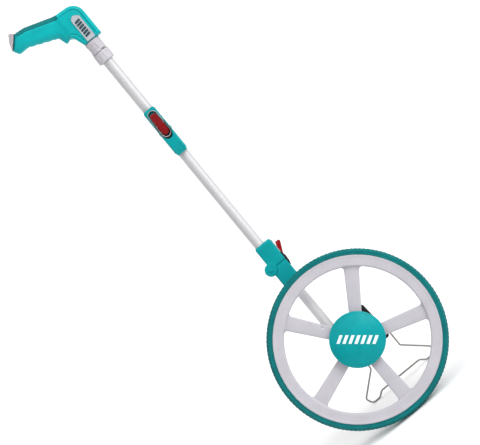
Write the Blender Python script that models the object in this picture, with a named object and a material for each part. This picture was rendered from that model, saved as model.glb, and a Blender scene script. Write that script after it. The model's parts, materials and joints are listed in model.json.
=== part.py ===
"""Folding measuring wheel with a mechanical counter, modelled as separate pieces.

Device frame, in millimetres: u runs the way the wheel rolls, w runs back from the
wheel's middle plane along the axle, v runs up the tube; the hub centre is 0, 0, 0.
The whole device leans back on its kickstand, so the device frame hangs on an empty
that is turned by LEAN about X.  Meshes are scaled to metres as they are placed.
"""

from math import asin, atan2, cos, pi, radians, sin, sqrt, tan

import bmesh
import bpy
from mathutils import Matrix, Vector

MM = 0.001
GAP = 0.3                      # between pieces that touch

# ---- wheel -------------------------------------------------------------------
WHEEL_ROUND = 1000.0           # rolling circumference: one metre a turn
TYRE_R = WHEEL_ROUND / (2 * pi)
CROWN_R = 16.0                 # radius of the crowned tread
TREAD_HALF = 11.0
TYRE_SEAT_R = 148.0
RIM_INNER_R = 128.5
RIM_HALF = 10.4
WEB_HALF = 6.0
HUB_R = 44.0
HUB_HALF = 13.0
SPOKES = 5
SPOKE_ANGLE = radians(55.6)    # first spoke, from +u towards +v
SPOKE_HALF_HUB = 11.0
SPOKE_HALF_RIM = 13.4
WINDOW_FILLET = 8.0
WASHER_R, WASHER_THICK = 11.0, 1.5
NUT_R, NUT_THICK = 9.4, 6.2
CAP_R = 49.6
CAP_SKIRT = 4.0
CAP_HEIGHT = 16.0
CAP_WALL = 2.2
WHEEL_SEGS = 48

# ---- stance ------------------------------------------------------------------
LEAN = radians(18.0)
FACET = radians(6.0)           # half angle of each flat facet of the tread
CROWN_LOW = CROWN_R * cos(FACET)
HUB_HEIGHT = (TYRE_R - CROWN_R) * cos(LEAN) + CROWN_LOW
HUB_BACK = (TYRE_R - CROWN_R) * sin(LEAN)

# ---- axle --------------------------------------------------------------------
AXLE_R = 5.0
AXLE_THIN_R = 4.0
AXLE_FRONT = -23.0
AXLE_BACK = 86.0
AXLE_SHOULDER = 21.0
CLIP_R, CLIP_THICK = 7.0, 1.0
BUSH_R, BUSH_FLANGE_R = 7.0, 9.0

# ---- tubes -------------------------------------------------------------------
TUBE_U = -28.3
TUBE_W = 48.0
TUBE_WALL = 1.2
TUBE_SEGS = 20
LEG_U = -24.0
LEG_R = 9.0
LEG_LOW = -22.0
LOWER_TUBE_R = 9.6
UPPER_TUBE_R = 10.2
UPPER_TUBE_TOP = 738.0

# ---- counter -----------------------------------------------------------------
BOX_LEFT, BOX_RIGHT = -11.5, 48.5
BOX_LOW, BOX_HIGH = -30.0, 44.0
BOX_FRONT, BOX_BACK = 24.0, 79.7
BOX_WALL = 2.5
COVER_THICK = 2.5
DRUM_U, DRUM_V = 20.0, 27.0
DRUM_R = 12.0
DRUM_WIDE = 7.6
DRUM_PITCH = 8.0
DRUM_FIRST_W = 37.0
DRUMS = ["drum_tenths", "drum_ones", "drum_tens", "drum_hundreds", "drum_thousands"]
DRUM_SHAFT_R = 2.0
GEAR_TEETH = 12
IDLER_TEETH = 16
GEAR_W0, GEAR_W1 = 29.0, 35.0
WINDOW_U0, WINDOW_U1 = 11.0, 29.0
WINDOW_W0, WINDOW_W1 = 37.0, 77.0
BUTTON_U, BUTTON_V = 36.0, 2.0
BUTTON_R = 4.0
BUTTON_TRAVEL = 3.0
BUTTON_PROUD = 7.0
STEM_R = 2.0
SHELF_W0, SHELF_W1 = 56.0, 58.0   # shelf that guides the button's stem
COVER_SCREWS = [(43.5, -25.0), (-6.5, 39.0)]
SCREW_HEAD_R, SCREW_HEAD_DEEP = 3.0, 1.6
SCREW_R, SCREW_HOLE_R = 1.2, 1.6

# ---- kickstand ---------------------------------------------------------------
WIRE_R = 1.5
STAND_W, STAND_V = 62.0, -14.0
STAND_MID_U = 18.5
STAND_LEG = 33.0               # half distance between the two straight legs
STAND_BEND = 62.0              # where the legs start to flare
STAND_BAR = 127.0              # crossbar
STAND_FOOT = 139.5

# ---- fold joints, in each joint's own frame: a across, h along the pin, v up --
BODY_BACK = -11.7
BODY_FRONT = 21.3
BODY_HALF = 12.25
BODY_LOW = -50.0
BODY_TOP = 46.0
KNUCKLE_R = 11.5
KNUCKLE_HALF = 4.85
PIN_R = 2.5
PIN_HEAD_R, PIN_HEAD_DEEP = 3.9, 0.5
SPLIT = 0.2                    # half the gap between base and arm
TUBE_STOP = 14.0               # from the fold to the end of each tube's bore
SLOT_HALF = 8.0
SLOT_FLOOR = 15.0
SLOT_TOP = 40.0
SLOT_LOW = -18.0
LEVER_HALF = 6.7
LEVER_PIVOT_A, LEVER_PIVOT_V = 18.5, 12.0
LEVER_PIN_R = 1.5
LEVER_SIDE = [                 # a, v
    (17.2, -9.2), (20.4, -9.2), (21.4, -5.0), (24.6, 12.0), (33.8, 31.0), (32.0, 34.6),
    (25.0, 34.6), (20.2, 19.0), (16.2, 17.0), (16.2, 7.0), (18.5, 3.0), (18.5, -5.6),
    (17.2, -5.6),
]
CATCH_LOW, CATCH_HIGH, CATCH_TOP = -5.2, -1.2, 16.8
BEZEL_WIDE, BEZEL_LOW = 1.3, -13.9
LOWER_FOLD_V = 190.0
MID_FOLD_V = 498.0
LOWER_PIN_A = -11.7
MID_PIN_A = -18.0

# ---- handle ------------------------------------------------------------------
COLLAR_LOW, COLLAR_MID, COLLAR_TOP = 657.0, 676.5, 701.7
COLLAR_RING_R = 16.0
COLLAR_R = 15.0
HANDLE_HALF = 16.0
HANDLE_WALL = 3.0
HANDLE_CORNERS = [             # u, v, corner radius
    (-5.0, 702.0, 1.5), (-5.0, 773.0, 24.0), (-50.0, 776.0, 24.0),
    (-106.0, 795.0, 14.0), (-126.0, 797.0, 5.0), (-147.0, 774.0, 5.0),
    (-140.0, 763.0, 4.0), (-122.0, 763.0, 12.0), (-70.0, 741.0, 5.0),
    (-65.0, 723.5, 3.5), (-56.0, 727.0, 4.0), (-49.0, 723.0, 5.0),
    (-42.0, 702.0, 1.5),
]
HANDLE_SCREWS = [(-116.0, 779.0), (-16.0, 752.0)]
SPINE_START, SPINE_END, SPINE_HALF = -124.0, -49.0, 7.0
PLATE_CORNERS = [
    (-34.0, 703.5, 1.0), (-16.5, 703.5, 1.0), (-16.5, 749.0, 4.0), (-27.0, 756.5, 5.0),
    (-34.0, 750.0, 4.0),
]
PLATE_THICK = 1.4
BAR_PLACES = [712.0 + 5.8 * bar for bar in range(6)]
BUTT_CORNERS = [
    (-124.5, 797.0, 0.0), (-133.5, 803.4, 2.5), (-142.5, 789.5, 5.0), (-147.6, 774.5, 0.0),
]
BUTT_HALF = 11.0

TEAL = (0.0, 0.33, 0.37)
GREY = (0.62, 0.61, 0.65)
BLACK = (0.015, 0.016, 0.018)
RED = (0.42, 0.012, 0.014)
STEEL = (0.55, 0.55, 0.57)
SILVER = (0.78, 0.79, 0.81)

ALONG_V = Matrix.Identity(4)
ALONG_W = Matrix.Rotation(-pi / 2, 4, 'X')
ALONG_U = Matrix.Rotation(pi / 2, 4, 'Y')

joints = {}                    # joint name -> (empty, its place in the device frame)


# ---- scene helpers -----------------------------------------------------------
def clear_scene():
    for obj in list(bpy.data.objects):
        bpy.data.objects.remove(obj, do_unlink=True)


def finish_material(name, colour, roughness, metallic=0.0):
    mat = bpy.data.materials.get(name)
    if mat is None:
        mat = bpy.data.materials.new(name)
        mat.use_nodes = True
        shader = mat.node_tree.nodes["Principled BSDF"]
        shader.inputs["Base Color"].default_value = (*colour, 1.0)
        shader.inputs["Roughness"].default_value = roughness
        shader.inputs["Metallic"].default_value = metallic
    return mat


def add_empty(name, place, parent):
    """An empty at a place in the device frame, below another joint's empty."""
    empty = bpy.data.objects.new(name, None)
    bpy.context.collection.objects.link(empty)
    if parent is None:
        empty.location = (0.0, HUB_BACK * MM, HUB_HEIGHT * MM)
        empty.rotation_euler = (-LEAN, 0.0, 0.0)
    else:
        above, above_place = joints[parent]
        empty.parent = above
        empty.location = (Vector(place) - Vector(above_place)) * MM
    joints[name] = (empty, place)


def as_object(bm, name="tool"):
    bmesh.ops.recalc_face_normals(bm, faces=bm.faces)
    if bm.calc_volume(signed=True) < 0:
        bmesh.ops.reverse_faces(bm, faces=bm.faces)
    mesh = bpy.data.meshes.new(name)
    bm.to_mesh(mesh)
    bm.free()
    obj = bpy.data.objects.new(name, mesh)
    bpy.context.collection.objects.link(obj)
    return obj


def combine(obj, operation, *tools):
    """Cut, join or intersect an object with closed meshes, one after another."""
    for bm in tools:
        tool = as_object(bm)
        modifier = obj.modifiers.new("combine", 'BOOLEAN')
        modifier.operation = operation
        modifier.solver = 'EXACT'
        modifier.object = tool
        bpy.context.view_layer.update()
        depsgraph = bpy.context.evaluated_depsgraph_get()
        mesh = bpy.data.meshes.new_from_object(obj.evaluated_get(depsgraph))
        obj.modifiers.clear()
        obj.data = mesh
        bpy.data.objects.remove(tool, do_unlink=True)
    return obj


def place(obj, name, joint, material):
    """Name a piece, give it its finish and hang it on its joint's empty."""
    obj.name = name
    obj.data.name = name
    obj.data.transform(Matrix.Scale(MM, 4))
    obj.data.shade_smooth()
    obj.data.set_sharp_from_angle(angle=radians(35))
    obj.data.materials.clear()
    obj.data.materials.append(material)
    empty, at = joints[joint]
    obj.parent = empty
    obj.location = -Vector(at) * MM
    return obj


# ---- shape helpers, in millimetres -------------------------------------------
def rounded(corners, most=4):
    """A closed outline from (x, y, radius) corners, each round one made an arc."""
    outline = []
    count = len(corners)
    for i, (x, y, radius) in enumerate(corners):
        here = Vector((x, y))
        back = (Vector(corners[i - 1][:2]) - here).normalized()
        ahead = (Vector(corners[(i + 1) % count][:2]) - here).normalized()
        if radius <= 0.0:
            outline.append(here)
            continue
        half = back.angle(ahead) / 2
        reach = radius / tan(half)
        centre = here + (back + ahead).normalized() * (radius / sin(half))
        start = here + back * reach - centre
        end = here + ahead * reach - centre
        turn = start.angle_signed(end)
        steps = max(1, min(most, round(radius * abs(turn) / 2.5)))
        for step in range(steps + 1):
            outline.append(centre + Matrix.Rotation(-turn * step / steps, 2) @ start)
    return outline


def offset(outline, distance):
    """The outline moved inwards by a distance, corner by corner."""
    area = sum(a.cross(b) for a, b in zip(outline, outline[1:] + outline[:1]))
    side = 1.0 if area > 0 else -1.0
    moved = []
    for i, here in enumerate(outline):
        before = (here - outline[i - 1]).normalized()
        after = (outline[(i + 1) % len(outline)] - here).normalized()
        inward = (Vector((-before.y, before.x)) + Vector((-after.y, after.x))) * side
        inward.normalize()
        stretch = max(0.5, inward.dot(Vector((-before.y, before.x)) * side))
        moved.append(here + inward * (distance / stretch))
    return moved


def prism(outline, low, high, frame=ALONG_V):
    """An outline in (u, v), pulled from low to high along w."""
    bm = bmesh.new()
    face = bm.faces.new([bm.verts.new((p[0], low, p[1])) for p in outline])
    pulled = bmesh.ops.extrude_face_region(bm, geom=[face])
    verts = [v for v in pulled["geom"] if isinstance(v, bmesh.types.BMVert)]
    bmesh.ops.translate(bm, verts=verts, vec=(0.0, high - low, 0.0))
    bm.transform(frame)
    return bm


def upright_prism(outline, low, high):
    """An outline in (u, w), pulled up from low to high along v."""
    lying = prism(outline, 0.0, high - low)
    lying.transform(Matrix(((1, 0, 0, 0), (0, 0, 1, 0), (0, 1, 0, low), (0, 0, 0, 1))))
    return lying


def block(low, high, frame=ALONG_V):
    outline = [(low[0], low[2]), (high[0], low[2]), (high[0], high[2]), (low[0], high[2])]
    return prism(outline, low[1], high[1], frame)


def turned(profile, axis=ALONG_W, at=(0.0, 0.0, 0.0), segs=24):
    """A closed profile of (radius, height) turned about an axis through a point."""
    bm = bmesh.new()
    ring = [bm.verts.new((r, 0.0, h)) for r, h in profile]
    edges = [bm.edges.new((a, b)) for a, b in zip(ring, ring[1:] + ring[:1])]
    on_axis = [e for e in edges if e.verts[0].co.x == 0 and e.verts[1].co.x == 0]
    edges = [e for e in edges if e not in on_axis]
    for edge in on_axis:
        bm.edges.remove(edge)
    bmesh.ops.spin(bm, geom=ring + edges, cent=(0, 0, 0), axis=(0, 0, 1),
                   angle=2 * pi, steps=segs, use_merge=True)
    bmesh.ops.remove_doubles(bm, verts=bm.verts, dist=1e-4)
    bm.transform(Matrix.Translation(at) @ axis)
    return bm


def rod(radius, low, high, axis=ALONG_W, at=(0.0, 0.0, 0.0), segs=24):
    return turned([(0, low), (radius, low), (radius, high), (0, high)], axis, at, segs)


def sleeve(inner, outer, low, high, axis=ALONG_W, at=(0.0, 0.0, 0.0), segs=24):
    profile = [(inner, low), (outer, low), (outer, high), (inner, high)]
    return turned(profile, axis, at, segs)


def screw(shank, at):
    """A screw along w; its head stands up from a point and its shank runs forward."""
    profile = [(0, -shank), (SCREW_R, -shank), (SCREW_R, 0.0), (SCREW_HEAD_R, 0.0),
               (SCREW_HEAD_R * 0.9, SCREW_HEAD_DEEP), (0, SCREW_HEAD_DEEP)]
    return turned(profile, at=at, segs=12)


# ---- wheel -------------------------------------------------------------------
def tread_profile():
    """The tyre's section: a crowned tread on a flat seat."""
    edge = asin(TREAD_HALF / CROWN_R)
    steps = [FACET * 2, FACET * 4, FACET * 5.8]
    angles = [-edge, *[-a for a in reversed(steps)], *steps, edge]
    crown = [(TYRE_R - CROWN_R + CROWN_R * cos(a), CROWN_R * sin(a)) for a in angles]
    return crown + [(TYRE_SEAT_R, TREAD_HALF), (TYRE_SEAT_R, -TREAD_HALF)]


def build_tyre():
    # Facet middles, not corners, lie on the true radius, so one facet is the ground face.
    stretch = 1 / cos(pi / WHEEL_SEGS)
    profile = [(r * stretch, h) for r, h in tread_profile()]
    bm = turned(profile, segs=WHEEL_SEGS)
    bmesh.ops.rotate(bm, verts=bm.verts, matrix=Matrix.Rotation(pi / WHEEL_SEGS, 3, 'Y'))
    place(as_object(bm), "tyre", "wheel_axis",
          finish_material("tyre_rubber", (0.0, 0.17, 0.19), 0.6))


def window_outline(index):
    """The opening between two spokes, with its corners rounded at the rim."""
    first = SPOKE_ANGLE + index * 2 * pi / SPOKES
    step = 2 * pi / SPOKES
    low = asin(SPOKE_HALF_RIM / RIM_INNER_R)
    near = asin(SPOKE_HALF_HUB / HUB_R)
    corners = []
    arc_steps = 7
    for i in range(arc_steps + 1):
        angle = first + low + (step - 2 * low) * i / arc_steps
        radius = WINDOW_FILLET if i in (0, arc_steps) else 0.0
        corners.append((RIM_INNER_R * cos(angle), RIM_INNER_R * sin(angle), radius))
    hub_steps = 4
    for i in range(hub_steps + 1):
        angle = first + step - near - (step - 2 * near) * i / hub_steps
        corners.append((HUB_R * cos(angle), HUB_R * sin(angle), 0.0))
    return rounded(corners, 3)


def build_rim():
    outer = TYRE_SEAT_R - GAP
    slope = 2.0
    half = [(AXLE_R + GAP, HUB_HALF), (HUB_R, HUB_HALF), (HUB_R + slope, WEB_HALF),
            (RIM_INNER_R, WEB_HALF), (RIM_INNER_R, RIM_HALF), (outer, RIM_HALF)]
    profile = half + [(r, -h) for r, h in reversed(half)]
    rim = as_object(turned(profile, segs=WHEEL_SEGS))
    for index in range(SPOKES):
        combine(rim, 'DIFFERENCE', prism(window_outline(index), -20.0, 20.0))
    place(rim, "wheel_rim", "wheel_axis", finish_material("rim_plastic", GREY, 0.4))


def cap_profile(radius, skirt, height, steps):
    """A skirt and a low dome in front of it, heights growing away from the wheel."""
    points = [(radius, 0.0), (radius, skirt)]
    for i in range(1, steps + 1):
        angle = pi / 2 * i / steps
        points.append((radius * cos(angle) ** 0.6, skirt + (height - skirt) * sin(angle)))
    points[-1] = (0.0, height)
    return points


def build_cap():
    outer = cap_profile(CAP_R, CAP_SKIRT, CAP_HEIGHT, 4)
    inner = cap_profile(CAP_R - CAP_WALL, CAP_SKIRT, CAP_HEIGHT - CAP_WALL, 3)
    face = -HUB_HALF - GAP
    profile = [(r, face - h) for r, h in outer + inner[::-1]]
    place(as_object(turned(profile, segs=30)), "hub_cap", "wheel_axis",
          finish_material("cap_plastic", TEAL, 0.25))


def build_axle():
    steel = finish_material("axle_steel", STEEL, 0.3, 1.0)
    profile = [(0, AXLE_FRONT), (AXLE_R, AXLE_FRONT), (AXLE_R, AXLE_SHOULDER),
               (AXLE_THIN_R, AXLE_SHOULDER), (AXLE_THIN_R, AXLE_BACK), (0, AXLE_BACK)]
    place(as_object(turned(profile, segs=20)), "axle", "wheel_axis", steel)
    washer_w = -HUB_HALF - GAP
    place(as_object(sleeve(AXLE_R + GAP, WASHER_R, washer_w - WASHER_THICK, washer_w)),
          "axle_washer", "wheel_axis", steel)
    nut_w = washer_w - WASHER_THICK - GAP
    nut = as_object(rod(NUT_R, nut_w - NUT_THICK, nut_w, segs=6))
    combine(nut, 'DIFFERENCE', rod(AXLE_R + GAP, nut_w - 10.0, nut_w + 2.0, segs=20))
    place(nut, "axle_nut", "wheel_axis", steel)
    place(as_object(sleeve(AXLE_R + GAP, 8.0, HUB_HALF + GAP, AXLE_SHOULDER)),
          "axle_spacer", "wheel_axis", finish_material("nylon", (0.7, 0.7, 0.66), 0.5))
    clip_w = BOX_BACK + COVER_THICK + 2.9
    place(as_object(sleeve(AXLE_THIN_R + GAP, CLIP_R, clip_w, clip_w + CLIP_THICK, segs=16)),
          "axle_clip", "wheel_axis", steel)


# ---- counter -----------------------------------------------------------------
def box_outline(inset=0.0):
    corners = [(BOX_LEFT, BOX_LOW, 5.0), (BOX_RIGHT, BOX_LOW, 5.0), (BOX_RIGHT, 2.0, 0.0),
               (BOX_RIGHT - 3.0, BOX_HIGH, 5.0), (BOX_LEFT, BOX_HIGH, 5.0)]
    return offset(rounded(corners, 3), inset)


def build_housing():
    plastic = finish_material("housing_plastic", BLACK, 0.45)
    box = as_object(prism(box_outline(), BOX_FRONT, BOX_BACK))
    combine(box, 'DIFFERENCE',
            prism(box_outline(BOX_WALL), BOX_FRONT + BOX_WALL, BOX_BACK + 5.0))
    for u, v in COVER_SCREWS:
        combine(box, 'UNION', rod(3.2, BOX_FRONT + 1.0, BOX_BACK - GAP, at=(u, 0, v), segs=12))
    shelf = block((27.0, SHELF_W0, -6.0), (BOX_RIGHT - 1.0, SHELF_W1, 10.0))
    combine(box, 'UNION', shelf)
    for u, v in COVER_SCREWS:
        combine(box, 'DIFFERENCE', rod(SCREW_HOLE_R, BOX_BACK - 14.0, BOX_BACK + 5.0,
                                       at=(u, 0, v), segs=10))
    combine(box, 'DIFFERENCE',
            rod(BUSH_R + GAP, 20.0, 30.0),
            rod(DRUM_SHAFT_R + GAP, 20.0, 30.0, at=(DRUM_U, 0, DRUM_V), segs=12),
            rod(DRUM_SHAFT_R + GAP, 20.0, 30.0, at=idler_centre(), segs=12),
            rod(STEM_R + 0.4, SHELF_W0 - 2.0, SHELF_W1 + 2.0, at=(BUTTON_U, 0, BUTTON_V),
                segs=12),
            block((WINDOW_U0, WINDOW_W0, BOX_HIGH - 5.0), (WINDOW_U1, WINDOW_W1, 60.0)),
            rod(WIRE_R + GAP, BOX_LEFT - 5.0, BOX_LEFT + 5.0, ALONG_U,
                (0, STAND_W, STAND_V), 12),
            rod(WIRE_R + GAP, BOX_RIGHT - 5.0, BOX_RIGHT + 5.0, ALONG_U,
                (0, STAND_W, STAND_V), 12))
    for w, v in socket_screw_places():
        combine(box, 'DIFFERENCE', rod(1.8, BOX_LEFT - 5.0, BOX_LEFT + 5.0, ALONG_U,
                                       (0, w, v), 10))
    place(box, "counter_housing", "device", plastic)

    cover_low = BOX_BACK + GAP
    cover = as_object(prism(box_outline(), cover_low, cover_low + COVER_THICK))
    combine(cover, 'DIFFERENCE',
            rod(BUSH_R + GAP, 70.0, 90.0),
            rod(DRUM_SHAFT_R + GAP, 70.0, 90.0, at=(DRUM_U, 0, DRUM_V), segs=12),
            rod(BUTTON_R + GAP, 70.0, 90.0, at=(BUTTON_U, 0, BUTTON_V), segs=16))
    for u, v in COVER_SCREWS:
        combine(cover, 'DIFFERENCE', rod(SCREW_HOLE_R, 70.0, 90.0, at=(u, 0, v), segs=10))
    place(cover, "counter_cover", "device", plastic)

    lens = block((WINDOW_U0 + GAP, WINDOW_W0 + GAP, BOX_HIGH - 2.0),
                 (WINDOW_U1 - GAP, WINDOW_W1 - GAP, BOX_HIGH + 0.8))
    place(as_object(lens), "counter_window", "device",
          finish_material("window_clear", (0.9, 0.95, 0.95), 0.05))

    screw_w = cover_low + COVER_THICK + GAP
    steel = finish_material("screw_steel", STEEL, 0.35, 1.0)
    for number, (u, v) in enumerate(COVER_SCREWS, 1):
        place(as_object(screw(12.0, (u, screw_w, v))),
              f"cover_screw_{number}", "device", steel)


def build_bushes():
    nylon = finish_material("nylon", (0.7, 0.7, 0.66), 0.5)
    inner = AXLE_THIN_R + 0.1
    front = [(inner, BOX_FRONT - 2.6), (BUSH_FLANGE_R, BOX_FRONT - 2.6),
             (BUSH_FLANGE_R, BOX_FRONT - GAP), (BUSH_R, BOX_FRONT - GAP),
             (BUSH_R, BOX_FRONT + 4.0), (inner, BOX_FRONT + 4.0)]
    place(as_object(turned(front)), "axle_bush_front", "device", nylon)
    face = BOX_BACK + GAP + COVER_THICK + GAP
    back = [(inner, face - 5.0), (BUSH_R, face - 5.0), (BUSH_R, face),
            (BUSH_FLANGE_R, face), (BUSH_FLANGE_R, face + 2.0), (inner, face + 2.0)]
    place(as_object(turned(back)), "axle_bush_back", "device", nylon)


def idler_centre():
    """The idler sits on the line from the axle to the drum shaft."""
    share = (GEAR_TEETH + IDLER_TEETH) / (2 * GEAR_TEETH + 2 * IDLER_TEETH)
    return (DRUM_U * share, 0.0, DRUM_V * share)


def gear(teeth, bore, at, phase):
    """A spur gear with straight-sided teeth; phase turns it, from +u towards +v."""
    line = sqrt(DRUM_U ** 2 + DRUM_V ** 2)
    module = line / (GEAR_TEETH + IDLER_TEETH)
    pitch_r = module * teeth / 2
    shape = [(-1.25, -0.30), (-0.4, -0.22), (0.75, -0.11), (0.75, 0.11), (-0.4, 0.22),
             (-1.25, 0.30)]
    outline = []
    for tooth in range(teeth):
        for rise, share in shape:
            angle = phase + (tooth + share) * 2 * pi / teeth
            radius = pitch_r + rise * module
            outline.append((at[0] + radius * cos(angle), at[2] + radius * sin(angle)))
    wheel = as_object(prism(outline, GEAR_W0, GEAR_W1))
    return combine(wheel, 'DIFFERENCE', rod(bore, GEAR_W0 - 5, GEAR_W1 + 5, at=at, segs=16))


def build_gears():
    acetal = finish_material("acetal", (0.75, 0.73, 0.68), 0.4)
    aim = atan2(DRUM_V, DRUM_U)
    idler = idler_centre()
    place(gear(GEAR_TEETH, AXLE_THIN_R + 0.1, (0, 0, 0), aim), "drive_gear",
          "wheel_axis", acetal)
    place(gear(IDLER_TEETH, DRUM_SHAFT_R + 0.1, idler, aim + pi / IDLER_TEETH),
          "idler_gear", "idler_axis", acetal)
    place(gear(GEAR_TEETH, DRUM_SHAFT_R + 0.1, (DRUM_U, 0, DRUM_V), aim),
          "counter_gear", "drum_axis", acetal)
    steel = finish_material("axle_steel", STEEL, 0.3, 1.0)
    place(as_object(rod(DRUM_SHAFT_R, BOX_FRONT + 0.5, GEAR_W1 + 1.0, at=idler, segs=12)),
          "idler_pin", "device", steel)
    place(as_object(rod(DRUM_SHAFT_R, BOX_FRONT + 0.5, BOX_BACK + COVER_THICK,
                        at=(DRUM_U, 0, DRUM_V), segs=12)), "drum_shaft", "device", steel)
    dial = finish_material("drum_black", (0.02, 0.02, 0.02), 0.4)
    for index, name in enumerate(DRUMS):
        low = DRUM_FIRST_W + index * DRUM_PITCH
        place(as_object(sleeve(DRUM_SHAFT_R + 0.1, DRUM_R, low, low + DRUM_WIDE,
                               at=(DRUM_U, 0, DRUM_V), segs=20)), name, "drum_axis", dial)


def build_reset():
    plastic = finish_material("button_plastic", (0.5, 0.02, 0.02), 0.4)
    cover_in = BOX_BACK + GAP
    flange = cover_in - 2.5
    top = cover_in + BUTTON_PROUD
    profile = [(0, SHELF_W0 - 2.0), (STEM_R, SHELF_W0 - 2.0), (STEM_R, flange), (5.4, flange),
               (5.4, cover_in - 0.5), (BUTTON_R, cover_in - 0.5), (BUTTON_R, top - 1.0),
               (BUTTON_R - 1.0, top), (0, top)]
    place(as_object(turned(profile, at=(BUTTON_U, 0, BUTTON_V))), "reset_button",
          "reset_axis", plastic)
    # the spring is drawn at its pressed length, so the button can travel above it
    turns, coil_r, wire_r, steps = 4, 3.3, 0.4, 8
    low = SHELF_W1 + GAP + wire_r
    rise = (flange - BUTTON_TRAVEL - GAP - wire_r - low) / turns
    path = []
    for i in range(turns * steps + 1):
        angle = 2 * pi * i / steps
        path.append((BUTTON_U + coil_r * cos(angle), low + rise * i / steps,
                     BUTTON_V + coil_r * sin(angle)))
    place(wire(path, wire_r, 0), "reset_spring", "device",
          finish_material("spring_steel", STEEL, 0.3, 1.0))


# ---- wires -------------------------------------------------------------------
def wire(path, radius, resolution):
    """A round wire along a path, with flat ends."""
    curve = bpy.data.curves.new("wire", 'CURVE')
    curve.dimensions = '3D'
    curve.bevel_depth = radius
    curve.bevel_resolution = resolution
    curve.use_fill_caps = True
    spline = curve.splines.new('POLY')
    spline.points.add(len(path) - 1)
    for point, place_at in zip(spline.points, path):
        point.co = (*place_at, 1.0)
    bent = bpy.data.objects.new("wire", curve)
    bpy.context.collection.objects.link(bent)
    bpy.context.view_layer.update()
    mesh = bpy.data.meshes.new_from_object(
        bent.evaluated_get(bpy.context.evaluated_depsgraph_get()))
    bpy.data.objects.remove(bent, do_unlink=True)
    bm = bmesh.new()
    bm.from_mesh(mesh)
    bmesh.ops.remove_doubles(bm, verts=bm.verts, dist=1e-4)
    return as_object(bm)


def stand_path():
    """The kickstand in its own plane: u across, s out from its pivot."""
    half = [(STAND_LEG - 8.0, 0.0, 0.0), (STAND_LEG, 0.0, 2.5), (STAND_LEG, STAND_BEND, 12.0),
            (74.5, 119.0, 12.0), (69.0, STAND_FOOT, 10.0), (53.0, STAND_FOOT, 10.0),
            (43.0, STAND_BAR, 7.0)]
    points = rounded(half + [(-u, s, r) for u, s, r in reversed(half)])
    return [(STAND_MID_U + p.x, p.y) for p in points]


def build_kickstand():
    path = stand_path()
    reach = max(s for _, s in path)
    pivot_height = HUB_HEIGHT + STAND_V * cos(LEAN) - STAND_W * sin(LEAN)
    below = asin((pivot_height - WIRE_R) / reach) - LEAN
    bent = [(u, STAND_W + s * cos(below), STAND_V - s * sin(below)) for u, s in path]
    place(wire(bent, WIRE_R, 1), "kickstand", "stand_axis",
          finish_material("wire_steel", (0.45, 0.44, 0.42), 0.3, 1.0))


# ---- leg ---------------------------------------------------------------------
def socket_screw_places():
    return [(w, v) for w in (30.5, 54.5) for v in (-20.0, 22.0)]


def build_leg():
    silver = finish_material("tube_aluminium", SILVER, 0.3, 1.0)
    at = (LEG_U, TUBE_W, 0)
    top = LOWER_FOLD_V - 15.0
    leg = as_object(sleeve(LEG_R - TUBE_WALL, LEG_R, LEG_LOW, top, ALONG_V, at, TUBE_SEGS))
    combine(leg, 'DIFFERENCE', rod(2.0 + GAP, 30.0, 70.0, at=(LEG_U, 0, 10.0), segs=12))
    place(leg, "leg_tube", "device", silver)
    plastic = finish_material("socket_plastic", BLACK, 0.5)
    right = BOX_LEFT - GAP
    barrel = rounded([(LEG_U - 12.0, 37.0, 8.0), (right, 37.0, 0.0), (right, 59.0, 0.0),
                      (LEG_U - 12.0, 59.0, 8.0)], 3)
    socket = as_object(upright_prism(barrel, -28.0, 30.0))
    combine(socket, 'UNION', block((right - 2.6, 27.0, -28.0), (right, 58.0, 30.0)))
    combine(socket, 'DIFFERENCE', rod(LEG_R + GAP, LEG_LOW - GAP, 60.0, ALONG_V, at, TUBE_SEGS),
            rod(LEG_R - 4.0, -60.0, 0.0, ALONG_V, at, 16),
            rod(2.0 + GAP, 30.0, 70.0, at=(LEG_U, 0, 10.0), segs=12))
    for w, v in socket_screw_places():
        combine(socket, 'DIFFERENCE', rod(1.8, right - 8.0, right + 5.0, ALONG_U,
                                          (0, w, v), 10))
    place(socket, "leg_socket", "device", plastic)
    place(as_object(rod(2.0, 36.5, 59.5, at=(LEG_U, 0, 10.0), segs=12)), "leg_pin",
          "device", finish_material("screw_steel", STEEL, 0.35, 1.0))


# ---- fold joints -------------------------------------------------------------
def fold_frame(which):
    """From a fold joint's own axes to the device frame."""
    if which == "lower":
        return Matrix.Translation((TUBE_U, TUBE_W, LOWER_FOLD_V))
    quarter = Matrix.Rotation(-pi / 2, 4, 'Z')
    return Matrix.Translation((TUBE_U, TUBE_W, MID_FOLD_V)) @ quarter


def pill(half, low, high, depth_low, depth_high, frame):
    """A bar with round ends in (h, v), pulled along a."""
    corners = [(-half, low, half * 0.96), (half, low, half * 0.96),
               (half, high, half * 0.96), (-half, high, half * 0.96)]
    turn = Matrix.Rotation(-pi / 2, 4, 'Z')
    bar = prism(rounded(corners, 5), depth_low, depth_high)
    bar.transform(frame @ turn)
    return bar


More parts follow.
